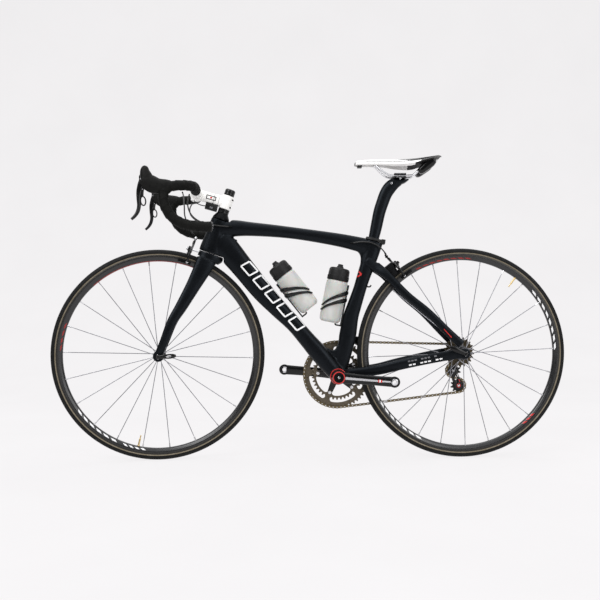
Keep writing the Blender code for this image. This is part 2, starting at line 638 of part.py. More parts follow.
# ------------------------------------------------------------------ wheels
RING_FLAT = math.cos(math.pi / WHEEL_SEGMENTS)   # inner reach of a faceted ring


def wheel_ring(profile, segments):
    """A ring about the wheel's axis from a closed (y, radius) profile."""
    rings = []
    for i in range(segments):
        angle = 2 * math.pi * i / segments
        out = Vector((math.cos(angle), 0.0, math.sin(angle)))
        rings.append([out * r + SIDEWAYS * y for y, r in profile])
    return loft(rings, closed=True)


def tyre_profile():
    center = TYRE_RADIUS - TYRE_HALF_WIDTH
    outside = []
    inside = []
    for i in range(7):
        angle = math.radians(-29 + 238 * i / 6)
        outside.append((TYRE_HALF_WIDTH * math.cos(angle), center + TYRE_HALF_WIDTH * math.sin(angle)))
    wall = 0.0022
    for i in range(3):
        angle = math.radians(202 - 224 * i / 2)
        radius = TYRE_HALF_WIDTH - wall
        inside.append((radius * math.cos(angle), center + radius * math.sin(angle)))
    return outside + inside


def rim_profile():
    half, top, low = RIM_HALF_WIDTH, RIM_RADIUS - 0.0007, RIM_INNER_RADIUS
    wall = 0.0018
    return ((half, top), (half, top - 0.010), (0.0045, low), (-0.0045, low),
            (-half, top - 0.010), (-half, top), (-half + wall, top), (0.0, low + 0.0030),
            (half - wall, top))


def spoke_set(count, first_degrees, flanges, hub_radius, twist_degrees):
    """Thin prisms from alternate hub flanges to the rim, each overlapping its flange."""
    verts = []
    faces = []
    for i in range(count):
        rim_angle = math.radians(first_degrees + 360 * i / count)
        side = i % 2
        lean = math.radians(twist_degrees[side] * (1 if (i // 2) % 2 else -1))
        inner = Vector((math.cos(rim_angle + lean), 0, math.sin(rim_angle + lean))) * hub_radius[side]
        inner.y = flanges[side]
        out = Vector((math.cos(rim_angle), 0, math.sin(rim_angle)))
        outer = out * (RIM_INNER_RADIUS - 0.0016) + SIDEWAYS * (0.003 if flanges[side] > 0 else -0.003)
        along = (outer - inner).normalized()
        across = along.cross(SIDEWAYS).normalized()
        up = along.cross(across)
        base = len(verts)
        for point in (inner, outer):
            verts += [point + across * 0.0012 - up * 0.0006, point - across * 0.0012 - up * 0.0006,
                      point + up * 0.0012]
        faces += [(base, base + 1, base + 4, base + 3), (base + 1, base + 2, base + 5, base + 4),
                  (base + 2, base, base + 3, base + 5), (base, base + 1, base + 2),
                  (base + 3, base + 4, base + 5)]
    return mesh_object("spokes", verts, faces)


def build_wheel(where, axle, parent, mats, valve_degrees):
    to_axle = Matrix.Translation(axle)
    tyre = moved(wheel_ring(tyre_profile(), WHEEL_SEGMENTS), to_axle)
    node(tyre, f"{where}_tyre", mats["tyre"], parent)
    rim = moved(wheel_ring(rim_profile(), WHEEL_SEGMENTS), to_axle)
    angle = math.radians(valve_degrees)
    inward = Vector((-math.cos(angle), 0, -math.sin(angle)))
    foot = axle - inward * (RIM_INNER_RADIUS + 0.0010)
    valve = turn(((0.0, 0.0030), (0.026, 0.0028), (0.027, 0.0018), (0.036, 0.0015)), foot, inward, 8)
    node(join(rim, valve), f"{where}_rim", mats["rim"], parent)


def build_front_wheel(mats):
    build_wheel("front", FRONT_AXLE, "front_wheel", mats, -103.4)
    half = FRONT_HUB_HALF - GAP
    profile = ((-half, 0.0075), (-0.0425, 0.0090), (-0.0390, 0.0175), (-0.0350, 0.0175),
               (-0.0320, 0.0110), (0.0320, 0.0110), (0.0350, 0.0175), (0.0390, 0.0175),
               (0.0425, 0.0090), (half, 0.0075))
    hub = turn(profile, FRONT_AXLE, SIDEWAYS, 11, bore=0.0030)
    spokes = spoke_set(FRONT_SPOKES, -2.5, (-0.0370, 0.0370), (0.0150, 0.0150), (0, 0))
    node(join(hub, moved(spokes, Matrix.Translation(FRONT_AXLE))), "front_hub", mats["hub"],
         "front_wheel")


def build_rear_wheel(mats):
    build_wheel("rear", REAR_AXLE, "rear_wheel", mats, 53.4)
    half = REAR_HUB_HALF - GAP
    profile = ((-half, 0.0085), (-0.0430, 0.0110), (-0.0400, 0.0220), (-0.0360, 0.0220),
               (-0.0330, 0.0130), (0.0160, 0.0140), (0.0180, 0.0240), (0.0220, 0.0240),
               (FREEHUB_FACE - GAP, 0.0160))
    hub = turn(profile, REAR_AXLE, SIDEWAYS, 12, bore=0.0030)
    spokes = spoke_set(REAR_SPOKES, 2.2, (-0.0380, 0.0200), (0.0195, 0.0215), (0, 62))
    node(join(hub, moved(spokes, Matrix.Translation(REAR_AXLE))), "rear_hub", mats["hub"],
         "rear_wheel")
    small = pitch_radius(COG_TEETH) - CHAIN_HALF_HEIGHT - 0.0010
    steps = ((FREEHUB_FACE, 0.0160), (0.0279, 0.0160), (0.0280, 0.0505), (0.0318, 0.0505),
             (0.0319, 0.0450), (0.0375, 0.0450), (0.0376, 0.0380), (0.0432, 0.0380),
             (0.0433, 0.0300), (0.0508, 0.0300), (0.0509, small), (0.0590, small),
             (0.0591, 0.0130), (0.0600, 0.0085), (half, 0.0085))
    cassette = turn(steps, REAR_AXLE, SIDEWAYS, 18, bore=0.0030)
    node(cassette, "cassette", mats["bronze"], "cassette")


def build_quick_release(where, axle, face, parent, mats, lever_heading):
    """Skewer through the hollow axle with its nut, and the cam lever on the left."""
    rod = turn(((-face - 0.0045, 0.0024), (face + 0.0040, 0.0024)), axle, SIDEWAYS, 8)
    nut = turn(((face + GAP, 0.0085), (face + 0.0060, 0.0085), (face + 0.0090, 0.0060)),
               axle, SIDEWAYS, 12)
    cam = turn(((face + GAP, 0.0085), (face + 0.0050, 0.0085)), axle, -SIDEWAYS, 12)
    node(join(nut, rod, cam), f"{where}_skewer", mats["black_metal"], parent)
    pivot = axle - SIDEWAYS * (face + 0.0105)
    pivot_empty(f"{where}_qr", pivot, parent)
    along = Vector(lever_heading).normalized()
    eye = turn(((-0.0065, 0.0048), (0.0065, 0.0048)), pivot, along.cross(SIDEWAYS), 10)
    path = [pivot + along * d - SIDEWAYS * s for d, s in ((0.0, 0.0005), (0.018, 0.0035),
                                                          (0.036, 0.0040), (0.055, 0.0020))]
    arm = sweep(path, [0.0055, 0.0065, 0.0075, 0.0050], 8, 0.45, SIDEWAYS)
    node(join(arm, eye), f"{where}_qr_lever", mats["gloss_black"], f"{where}_qr")


# ------------------------------------------------------------------ drivetrain
LEFT_EYE = BB + Vector((math.cos(CRANK_ANGLE), 0, math.sin(CRANK_ANGLE))) * CRANK_LENGTH
RIGHT_EYE = BB - Vector((math.cos(CRANK_ANGLE), 0, math.sin(CRANK_ANGLE))) * CRANK_LENGTH
PEDAL_EYE_RADIUS = 0.0071
JOCKEY_TOP = Vector((0.4670, COG_Y, 0.2720))
JOCKEY_LOW = Vector((0.4840, COG_Y, 0.2235))


def crank_arm(eye, side, inner, outer_eye):
    """An arm from the spindle to the pedal eye, flat at the eye's outer face."""
    center = BB
    rings = []
    for t, half, low, high in ((0.0, 0.0190, inner, inner + 0.0150),
                               (0.22, 0.0165, inner + 0.002, inner + 0.0165),
                               (0.60, 0.0140, outer_eye - 0.0150, outer_eye - 0.0020),
                               (1.0, 0.0165, outer_eye - 0.0125, outer_eye)):
        point = center.lerp(eye, t)
        along = (eye - center).normalized()
        across = along.cross(SIDEWAYS).normalized()
        ring = []
        for a, y in ((-1, low), (1, low), (1, high), (-1, high)):
            ring.append(Vector((point.x, side * y, point.z)) + across * half * a)
        rings.append(ring)
    arm = loft(rings)
    tip = turn(((outer_eye - 0.0125, 0.0175), (outer_eye, 0.0175)), Vector((eye.x, 0, eye.z)),
               SIDEWAYS * side, 20)
    boss = turn(((inner - 0.0010, 0.0215), (inner + 0.0155, 0.0205)), BB, SIDEWAYS * side, 20)
    hole = turn(((0.05, PEDAL_EYE_RADIUS), (0.11, PEDAL_EYE_RADIUS)), Vector((eye.x, 0, eye.z)),
                SIDEWAYS * side, 16)
    return cut(join(arm, tip, boss), hole)


def build_cranks(mats):
    left = crank_arm(LEFT_EYE, -1, 0.0640, 0.0900)
    neck = turn(((0.0405, 0.0175), (0.0660, 0.0180)), BB, -SIDEWAYS, 16)
    socket = turn(((0.03, 0.0123), (0.0703, 0.0123)), BB, -SIDEWAYS, 14)
    cut(join(left, neck), socket)
    node(left, "crank_left", mats["gloss_black"], "crankset")
    right = crank_arm(RIGHT_EYE, 1, 0.0640, 0.0900)
    hub = turn(((0.0404, 0.0200), (0.0660, 0.0220)), BB, SIDEWAYS, 20)
    spindle = turn(((-0.0700, 0.0120), (0.0500, 0.0120)), BB, SIDEWAYS, 14)
    arms = []
    for i in range(5):
        angle = CRANK_ANGLE + math.pi + 2 * math.pi * i / 5
        reach = (BB.x + 0.0600 * math.cos(angle), BB.z + 0.0600 * math.sin(angle))
        arms.append(plate(link_outline((BB.x, BB.z), reach, 0.0130, 0.0090, 3), 0.0406, 0.0446))
    body = join(right, hub, spindle, *arms)
    node(body, "crank_right", mats["gloss_black"], "crankset")

    outer = pitch_radius(OUTER_TEETH) - CHAIN_HALF_HEIGHT - 0.0008
    inner = pitch_radius(INNER_TEETH) + 0.0015
    ring = turn(((0.0449, outer), (0.0476, outer)), BB, SIDEWAYS, OUTER_TEETH, bore=0.0560)
    node(ring, "chainring_outer", mats["dark_metal"], "crankset")
    ring = turn(((0.0376, inner), (0.0403, inner)), BB, SIDEWAYS, INNER_TEETH, bore=0.0560)
    node(ring, "chainring_inner", mats["dark_metal"], "crankset")


def chain_path():
    """Pitch line of the chain around the ring, the sprocket and the two jockey wheels."""
    wheels = ((BB, pitch_radius(OUTER_TEETH), 1), (REAR_AXLE, pitch_radius(COG_TEETH), 1),
              (JOCKEY_TOP, pitch_radius(JOCKEY_TEETH), -1), (JOCKEY_LOW, pitch_radius(JOCKEY_TEETH), 1))
    contacts = []
    for i, (c1, r1, s1) in enumerate(wheels):
        c2, r2, s2 = wheels[(i + 1) % len(wheels)]
        span = Vector((c2.x - c1.x, c2.z - c1.z))
        heading = math.atan2(span.y, span.x) - math.asin((s1 * r1 - s2 * r2) / span.length)
        contacts.append((heading, s1, s2))
    path = []
    for i, (center, radius, sense) in enumerate(wheels):
        enter = contacts[i - 1][0] + sense * math.pi / 2
        leave = contacts[i][0] + sense * math.pi / 2
        while (leave - enter) * sense > 0:
            leave -= sense * 2 * math.pi
        steps = max(3, math.ceil(abs(leave - enter) / math.radians(10 if radius > 0.05 else 26)))
        for k in range(steps + 1):
            angle = enter + (leave - enter) * k / steps
            path.append(Vector((center.x + radius * math.cos(angle), 0.0,
                                center.z + radius * math.sin(angle))))
    return path


def chain_side(x):
    """The chain leaves the ring's plane for the sprocket's along its straight runs."""
    t = min(max((x - 0.18) / (0.44 - 0.18), 0.0), 1.0)
    return RING_Y + (COG_Y - RING_Y) * t


def build_chain(mats):
    path = chain_path()
    rings = []
    for i, point in enumerate(path):
        tangent = (path[(i + 1) % len(path)] - path[i - 1]).normalized()
        normal = tangent.cross(SIDEWAYS)
        y = chain_side(point.x)
        ring = []
        for a, b in ((-1, -1), (1, -1), (1, 1), (-1, 1)):
            ring.append(point + normal * a * CHAIN_HALF_HEIGHT + SIDEWAYS * (y + b * CHAIN_HALF_WIDTH))
        rings.append(ring)
    node(loft(rings, closed=True), "chain", mats["chain"])


FD_KNUCKLE = Vector((0.1400, 0.0330, 0.3830))
FD_TAB = ((0.1100, 0.0100, 0.3800), (0.1420, 0.0215, 0.3930))   # hanger on the seat tube


FD_TOP_EDGE = ((0.100, 0.3820), (0.125, 0.3870), (0.155, 0.3860), (0.179, 0.3760), (0.186, 0.3600),
               (0.182, 0.3460))
FD_LOW_EDGE = ((0.172, 0.3440), (0.165, 0.3500), (0.150, 0.3580), (0.135, 0.3660), (0.118, 0.3720),
               (0.100, 0.3755))


def build_front_derailleur(mats):
    """Two plates beside the chain, joined over it in front and under it behind."""
    outer = plate(FD_TOP_EDGE + FD_LOW_EDGE, 0.0540, 0.0555)
    inner = plate(FD_TOP_EDGE + FD_LOW_EDGE, 0.0375, 0.0390)
    bridge = box((0.1300, 0.0382, 0.3790), (0.1520, 0.0548, 0.3850))
    tail = turn(((0.0383, 0.0026), (0.0547, 0.0026)), Vector((0.1780, 0.0, 0.3510)), SIDEWAYS, 8)
    knuckle = turn(((0.0305, 0.0050), (0.0384, 0.0050)), Vector((FD_KNUCKLE.x, 0, FD_KNUCKLE.z)),
                   SIDEWAYS, 10)
    pivot_empty("front_derailleur", FD_KNUCKLE)
    node(join(outer, inner, bridge, tail, knuckle), "front_derailleur_cage", mats["gloss_black"],
         "front_derailleur")


def build_rear_derailleur(mats):
    """The cage and its knuckle hang from the hanger's boss on links that swing it sideways."""
    top = Vector((JOCKEY_TOP.x, 0.0, JOCKEY_TOP.z))
    pivot_empty("derailleur_body", JOCKEY_TOP)
    cage_knuckle = turn(((0.0630, 0.0115), (0.0780, 0.0115)), top, SIDEWAYS, 14)
    arm_end = (0.4745, 0.2840)
    arm = plate(link_outline((top.x, top.z), arm_end, 0.0100, 0.0065, 3), 0.0735, 0.0790)
    node(join(cage_knuckle, arm), "rear_derailleur_body", mats["gloss_black"],
         "derailleur_body")
    pivot_empty("derailleur_cage", JOCKEY_TOP, "derailleur_body")
    low = Vector((JOCKEY_LOW.x, 0.0, JOCKEY_LOW.z))
    ends = ((top.x, top.z), (low.x, low.z))
    outer = plate(link_outline(*ends, 0.0110, 0.0125), 0.0604, 0.0624)
    inner = plate(link_outline(*ends, 0.0100, 0.0125), 0.0466, 0.0486)
    pins = [turn(((0.0476, 0.0026), (0.0614, 0.0026)), c, SIDEWAYS, 7) for c in (top, low)]
    node(join(outer, inner, *pins), "rear_derailleur_cage", mats["gloss_black"], "derailleur_cage")
    radius = pitch_radius(JOCKEY_TEETH) - CHAIN_HALF_HEIGHT - 0.0010
    for name, center in (("jockey_upper", JOCKEY_TOP), ("jockey_lower", JOCKEY_LOW)):
        pivot_empty(name, center, "derailleur_cage")
        wheel = turn(((-0.0038, 0.0080), (-0.0036, radius), (0.0036, radius), (0.0038, 0.0080)),
                     center, SIDEWAYS, JOCKEY_TEETH, bore=0.0034)
        node(wheel, name + "_wheel", mats["black_plastic"], name)


# ------------------------------------------------------------------ brakes
def brake_frame(axle, polar_degrees, radius, outward):
    """Local frame of a calliper: x away from its bridge, y sideways, z out from the axle."""
    angle = math.radians(polar_degrees)
    away = Vector((math.cos(angle), 0, math.sin(angle)))
    tangent = Vector((-away.z, 0, away.x)) * outward
    origin = axle + away * radius
    side = away.cross(tangent)
    return Matrix.Translation(origin) @ Matrix((tangent, side, away)).transposed().to_4x4()


PAD_GAP = 0.0022
BRAKE_BOLT_RADIUS = 0.0028
PAD_THICKNESS = 0.0095


def calliper_arm(reach, side, layer, cable_arm):
    """One arm in the calliper's frame: from its pivot around the tyre to its pad."""
    x0, x1 = layer
    path = ((0.000, 0.000), (0.017, -0.002), (0.0290, -0.016), (0.0300, -0.034), (0.0270, -reach))
    widths = (0.0085, 0.0070, 0.0062, 0.0055, 0.0050)
    rings = []
    points = [Vector((0, side * y, z)) for y, z in path]
    for i, point in enumerate(points):
        tangent = (points[min(i + 1, 4)] - points[max(i - 1, 0)]).normalized()
        across = tangent.cross(Vector((1, 0, 0)))
        rings.append([Vector((x, 0, 0)) + point + across * widths[i] * a
                      for x, a in ((x0, -1), (x1, -1), (x1, 1), (x0, 1))])
    arm = loft(rings)
    extra = []
    if cable_arm:
        tip = Vector((0, -side * cable_arm[0], cable_arm[1]))
        across = tip.normalized().cross(Vector((1, 0, 0)))
        ends = []
        for point, w in ((Vector((0, side * 0.004, -0.001)), 0.0080), (tip, 0.0060)):
            ends.append([Vector((x, 0, 0)) + point + across * w * a
                         for x, a in ((x0, -1), (x1, -1), (x1, 1), (x0, 1))])
        extra.append(loft(ends))
    inner = RIM_HALF_WIDTH + PAD_GAP
    pad = box(*sorted_corners((-0.003, side * inner, -reach - 0.0050),
                              (0.037, side * (inner + PAD_THICKNESS), -reach + 0.0050)))
    stud = box(*sorted_corners((x0, side * (inner + PAD_THICKNESS - 0.002), -reach - 0.0048),
                               (x1, side * 0.0300, -reach + 0.0048)))
    bolt_hole = turn(((-0.05, BRAKE_BOLT_RADIUS + GAP), (0.05, BRAKE_BOLT_RADIUS + GAP)),
                     Vector((0, 0, 0)), Vector((1, 0, 0)), 8)
    return cut(join(arm, pad, stud, *extra), bolt_hole)


def brake_bolt(frame_matrix, back):
    """The centre bolt that both arms of a calliper turn on."""
    bolt = turn(((-back, BRAKE_BOLT_RADIUS), (0.0215, BRAKE_BOLT_RADIUS)), Vector((0, 0, 0)),
                Vector((1, 0, 0)), 8)
    return moved(bolt, frame_matrix)


def sorted_corners(a, b):
    return tuple(min(p, q) for p, q in zip(a, b)), tuple(max(p, q) for p, q in zip(a, b))


def build_brake(where, frame_matrix, parent, mats):
    reach = BRAKE_RADIUS[where] - PAD_RADIUS
    hand = round(frame_matrix.col[1].y)
    for name, side, layer, cable_arm in (("left", -1, (0.0040, 0.0110), (0.026, 0.030)),
                                         ("right", 1, (0.0115, 0.0185), None)):
        pivot = frame_matrix @ Vector((0, 0, 0))
        empty = f"{where}_brake_{name}"
        pivot_empty(empty, pivot, parent)
        arm = moved(calliper_arm(reach, side * hand, layer, cable_arm), frame_matrix)
        node(arm, f"{where}_brake_arm_{name}", mats["black_metal"], empty)


BRAKE_RADIUS = {"front": 0.3500, "rear": 0.3520}
FRONT_BRAKE = brake_frame(FRONT_AXLE, 71.5, BRAKE_RADIUS["front"], 1)
REAR_BRAKE = brake_frame(REAR_AXLE, 128.0, BRAKE_RADIUS["rear"], -1)


# ------------------------------------------------------------------ bottles and cages
DOWN_BOTTLE_BASE = Vector((0.0000, 0.0, 0.4800))
DOWN_BOTTLE_AXIS = Vector((-0.6200, 0.0, 0.7846)).normalized()
SEAT_BOTTLE_BASE = Vector((0.0595, 0.0, 0.4355))
SEAT_BOTTLE_AXIS = Vector((0.2050, 0.0, 0.9788)).normalized()
BOTTLE_BODY = 0.1500


def build_bottle(name, base, axis, mats):
    pivot_empty(name, base)
    r = BOTTLE_RADIUS
    body = turn(((0.0, r - 0.004), (0.004, r), (0.094, r), (0.100, r - 0.0035), (0.112, r - 0.0035),
                 (0.118, r), (0.140, r), (BOTTLE_BODY, 0.0270)), base, axis, 16)
    node(body, f"{name}_body", mats["bottle"], name)
    cap = turn(((BOTTLE_BODY + GAP, 0.0265), (0.1680, 0.0265), (0.1710, 0.0210), (0.1740, 0.0120),
                (0.1760, 0.0095), (0.1860, 0.0085), (0.1880, 0.0060)), base, axis, 16)
    node(cap, f"{name}_cap", mats["black_plastic"], name)


def build_cage(name, base, axis, toward_tube, mats):
    """A back plate on the tube, a foot under the bottle and two arms around it."""
    radius = BOTTLE_RADIUS + 0.0012
    wire = 0.0016
    plate_center = base + toward_tube * (radius + 0.0011)
    rings = []
    for d in (-0.0075, 0.114):
        middle = plate_center + axis * d
        rings.append([middle + SIDEWAYS * 0.009 * a + toward_tube * 0.0011 * b
                      for a, b in ((-1, -1), (1, -1), (1, 1), (-1, 1))])
    pieces = [loft(rings)]
    foot = [base - axis * 0.0052 + toward_tube * d for d in (radius + 0.0008, 0.0, -0.022)]
    pieces.append(sweep(foot, wire, 6, 3.0, SIDEWAYS))
    for height, climb in ((0.030, 0.012), (0.092, -0.030)):
        arc = []
        for i in range(13):
            angle = math.radians(-126 + 252 * i / 12)
            out = toward_tube * math.cos(angle) + SIDEWAYS * math.sin(angle)
            lift = height + climb * (1 - math.cos(angle)) / 2
            arc.append(base + axis * lift + out * (radius + wire * 1.25))
        pieces.append(sweep(arc, wire, 6, 2.4, axis))
    node(join(*pieces), name, mats["gloss_black"])


# ------------------------------------------------------------------ held cables
def cable(name, points, radius, mat, parent="frame"):
    """A housing clipped along the bicycle, as a bevelled curve on a smooth route."""
    curve = bpy.data.curves.new(name, "CURVE")
    curve.dimensions = "3D"
    curve.bevel_depth = radius
    curve.bevel_resolution = 2
    curve.use_fill_caps = True
    spline = curve.splines.new("POLY")
    route = catmull(points, 3)
    spline.points.add(len(route) - 1)
    origin = Vector(RINGS[parent]["pivot"])
    for point, place in zip(spline.points, route):
        point.co = (*(Vector(place) - origin), 1.0)
    curve.materials.append(mat)
    obj = bpy.data.objects.new(name, curve)
    bpy.context.scene.collection.objects.link(obj)
    obj.parent = RINGS[parent]
    return obj


CABLE_RADIUS = 0.0021
FRONT_BRAKE_CABLE = ((-0.3950, -0.2000, 0.8260), (-0.3940, -0.1500, 0.8180),
                     (-0.3950, -0.0900, 0.7980), (-0.3950, -0.0550, 0.7700),
                     (-0.3840, -0.0260, 0.7400), (-0.3700, -0.0080, 0.7140))
STEER_CABLE = ((-0.3780, 0.1300, 0.8280), (-0.3850, 0.0900, 0.8050), (-0.3780, 0.0560, 0.7780),
               (-0.3500, 0.0390, 0.7560), (-0.3080, 0.0310, 0.7440), (-0.2500, 0.0262, 0.7380))
REAR_BRAKE_CABLE = ((0.1300, -0.0180, 0.6850), (0.1600, -0.0210, 0.6890), (0.1900, -0.0240, 0.6870),
                    (0.2150, -0.0250, 0.6760), (0.2320, -0.0260, 0.6600), (0.2400, -0.0260, 0.6480))


def build_cables(mats):
    cable("front_brake_cable", FRONT_BRAKE_CABLE, CABLE_RADIUS, mats["cable"], "steering")
    for name, side in (("head_cable_left", -1), ("head_cable_right", 1)):
        cable(name, [(x, side * y, z) for x, y, z in STEER_CABLE], CABLE_RADIUS, mats["cable"])
    cable("rear_brake_cable", REAR_BRAKE_CABLE, CABLE_RADIUS, mats["cable"])


def make_materials():
    return {
        "carbon": material("carbon", (0.020, 0.021, 0.025), 0.35),
        "black_metal": material("black_metal", (0.025, 0.025, 0.027), 0.40, 0.6),
        "black_plastic": material("black_plastic", (0.020, 0.020, 0.021), 0.50),
        "gloss_black": material("gloss_black", (0.012, 0.012, 0.014), 0.15),
        "dark_metal": material("dark_metal", (0.16, 0.14, 0.12), 0.35, 0.9),
        "bronze": material("bronze", (0.34, 0.27, 0.18), 0.38, 0.9),
        "chain": material("chain", (0.40, 0.32, 0.20), 0.35, 0.9),
        "silver": material("silver", (0.75, 0.75, 0.76), 0.25, 1.0),
        "brass": material("brass", (0.75, 0.56, 0.28), 0.30, 1.0),
        "hub": material("hub", (0.42, 0.43, 0.45), 0.35, 0.9),
        "rim": material("rim", (0.018, 0.018, 0.020), 0.25, 0.3),
        "tyre": material("tyre", (0.030, 0.030, 0.031), 0.75),
        "tape": material("tape", (0.018, 0.018, 0.018), 0.80),
        "hood": material("hood", (0.020, 0.020, 0.020), 0.60),
        "saddle_white": material("saddle_white", (0.82, 0.82, 0.82), 0.45),
        "stem_white": material("stem_white", (0.85, 0.85, 0.85), 0.25),
        "bottle": material("bottle", (0.78, 0.80, 0.80), 0.40),
        "cable": material("cable", (0.015, 0.015, 0.015), 0.40),
    }


def main():
    clear_scene()
    RINGS.clear()
    pivot_empty("frame", Vector((0, 0, 0)))
    steering = pivot_empty("steering", STEER_BASE)
    steering.rotation_mode = "QUATERNION"
    steering.rotation_quaternion = Quaternion(STEER_UP, STEER_ANGLE)
    pivot_empty("front_wheel", FRONT_AXLE, "steering")
    pivot_empty("rear_wheel", REAR_AXLE)
    pivot_empty("cassette", REAR_AXLE)
    pivot_empty("crankset", BB)
    mats = make_materials()

    build_front_triangle(mats["carbon"])
    build_seatstays(mats["carbon"])
    build_chainstays(mats["carbon"])
    build_seatpost(mats["carbon"], mats["black_metal"])
    build_saddle(mats)
    build_bottom_bracket(mats["black_metal"])

    build_fork(mats["carbon"])
    build_headset(mats)
    build_stem(mats)
    build_handlebar(mats)
    build_controls(mats)

    build_front_wheel(mats)
    build_rear_wheel(mats)
    build_quick_release("front", FRONT_AXLE, 0.0572, "steering", mats, (1.0, 0.0, 0.06))
    build_quick_release("rear", REAR_AXLE, DROPOUT_FACE, "frame", mats, (-0.92, 0.0, 0.40))

    build_cranks(mats)
    build_chain(mats)
    build_front_derailleur(mats)
    build_rear_derailleur(mats)

    build_brake("front", FRONT_BRAKE, "steering", mats)
    build_brake("rear", REAR_BRAKE, "frame", mats)

    build_bottle("down_bottle", DOWN_BOTTLE_BASE, DOWN_BOTTLE_AXIS, mats)
    build_bottle("seat_bottle", SEAT_BOTTLE_BASE, SEAT_BOTTLE_AXIS, mats)
    build_cage("cage_down_tube", DOWN_BOTTLE_BASE, DOWN_BOTTLE_AXIS,
               Vector((-DOWN_BOTTLE_AXIS.z, 0, DOWN_BOTTLE_AXIS.x)), mats)
    build_cage("cage_seat_tube", SEAT_BOTTLE_BASE, SEAT_BOTTLE_AXIS,
               Vector((SEAT_BOTTLE_AXIS.z, 0, -SEAT_BOTTLE_AXIS.x)), mats)
    build_cables(mats)


main()
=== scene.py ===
"""Looks of the road bicycle: moulded carbon, laced wheels, drivetrain, cockpit, saddle, bottles.

Every piece is shaped in the frame's own coordinates, in metres: +X to the rear, -Y to the rider's
left, +Z up. The steering assembly is shaped with its bars straight and then turned about the
steering joint by the angle at which the bars rest.
"""
import json
import math

import bmesh
import bpy
from mathutils import Matrix, Vector
from mathutils.bvhtree import BVHTree


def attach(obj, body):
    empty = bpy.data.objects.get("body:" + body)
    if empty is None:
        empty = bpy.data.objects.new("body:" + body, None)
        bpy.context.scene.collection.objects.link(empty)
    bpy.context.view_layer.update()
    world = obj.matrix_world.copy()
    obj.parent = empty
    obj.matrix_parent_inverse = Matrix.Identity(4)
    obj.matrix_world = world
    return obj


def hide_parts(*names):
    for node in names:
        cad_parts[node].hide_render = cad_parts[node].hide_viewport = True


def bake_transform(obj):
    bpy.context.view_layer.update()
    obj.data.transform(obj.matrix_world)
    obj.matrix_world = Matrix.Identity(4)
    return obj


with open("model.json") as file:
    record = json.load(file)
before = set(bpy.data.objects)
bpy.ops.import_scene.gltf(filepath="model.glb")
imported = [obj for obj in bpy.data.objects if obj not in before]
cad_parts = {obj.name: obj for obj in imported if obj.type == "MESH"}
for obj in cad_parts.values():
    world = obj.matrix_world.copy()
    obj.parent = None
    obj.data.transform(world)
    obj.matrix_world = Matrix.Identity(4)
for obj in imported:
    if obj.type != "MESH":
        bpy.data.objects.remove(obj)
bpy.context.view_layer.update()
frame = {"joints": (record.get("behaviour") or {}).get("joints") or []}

JOINTS = {joint["name"]: joint for joint in frame["joints"]}
SIDEWAYS = Vector((0.0, 1.0, 0.0))
UP = Vector((0.0, 0.0, 1.0))
AWAY = Vector((1.0, 0.0, 0.0))     # to the rear; in a brake's own frame, off its bridge

# ------------------------------------------------------------------ places, from the frame
BB = Vector(JOINTS["crank_spin"]["pos_m"])
REAR_AXLE = Vector(JOINTS["rear_wheel_spin"]["pos_m"])
FRONT_AXLE = Vector((-REAR_AXLE.x, 0.0, REAR_AXLE.z))
JOCKEY_TOP = Vector(JOINTS["jockey_upper_spin"]["pos_m"])
JOCKEY_LOW = Vector(JOINTS["jockey_lower_spin"]["pos_m"])
STEER_BASE = Vector(JOINTS["steering"]["pos_m"])
STEER_UP = Vector(JOINTS["steering"]["axis"])
STEER_BACK = Vector((STEER_UP.z, 0.0, -STEER_UP.x))
STEER_ANGLE = math.radians(6.34)
STEERED = (Matrix.Translation(STEER_BASE) @ Matrix.Rotation(STEER_ANGLE, 4, STEER_UP)
           @ Matrix.Translation(-STEER_BASE))
STEERED_BODIES = ("steering", "front_wheel", "front_qr", "lever_left", "lever_right",
                  "paddle_left", "paddle_right", "front_brake_left", "front_brake_right")

TYRE_RADIUS = REAR_AXLE.z
TYRE_HALF_WIDTH = 0.0115
RIM_RADIUS = 0.3168
RIM_INNER_RADIUS = 0.2965
RIM_HALF_WIDTH = 0.0102
PAD_RADIUS = 0.307
CHAIN_PITCH = 0.0127
OUTER_TEETH = 53
INNER_TEETH = 39
JOCKEY_TEETH = 11
SPROCKETS = (12, 13, 14, 15, 16, 17, 18, 19, 21, 23)
RING_Y = 0.0465
COG_Y = JOCKEY_TOP.y
CRANK_LENGTH = 0.1725
CRANK_ANGLE = math.radians(-4.77)
CRANK_ALONG = Vector((math.cos(CRANK_ANGLE), 0.0, math.sin(CRANK_ANGLE)))


# ------------------------------------------------------------------ shapes
ROUNDING_STEPS = 3                 # along each small arc of a turned profile
FILLET_BOW = 0.45
LEFT_RIGHT = (("left", -1), ("right", 1))


def catmull(points, steps):
    """Rows on a smooth curve through the given rows, with steps spans between each pair."""
    rows = [tuple(float(v) for v in p) for p in points]
    out = []
    for i in range(len(rows) - 1):
        before = rows[max(i - 1, 0)]
        after = rows[min(i + 2, len(rows) - 1)]
        for s in range(steps):
            t = s / steps
            row = []
            for a, b, c, d in zip(before, rows[i], rows[i + 1], after):
                bend = (2 * a - 5 * b + 4 * c - d) * t * t + (3 * b - a - 3 * c + d) * t ** 3
                row.append(0.5 * (2 * b + (c - a) * t + bend))
            out.append(tuple(row))
    out.append(rows[-1])
    return out


def mesh_object(name, verts, faces):
    mesh = bpy.data.meshes.new(name)
    mesh.from_pydata([tuple(v) for v in verts], [], faces)
    mesh.validate()
    obj = bpy.data.objects.new(name, mesh)
    bpy.context.scene.collection.objects.link(obj)
    return outward(obj)


def outward(obj):
    bm = bmesh.new()
    bm.from_mesh(obj.data)
    bmesh.ops.recalc_face_normals(bm, faces=bm.faces)
    bm.to_mesh(obj.data)
    bm.free()
    return obj


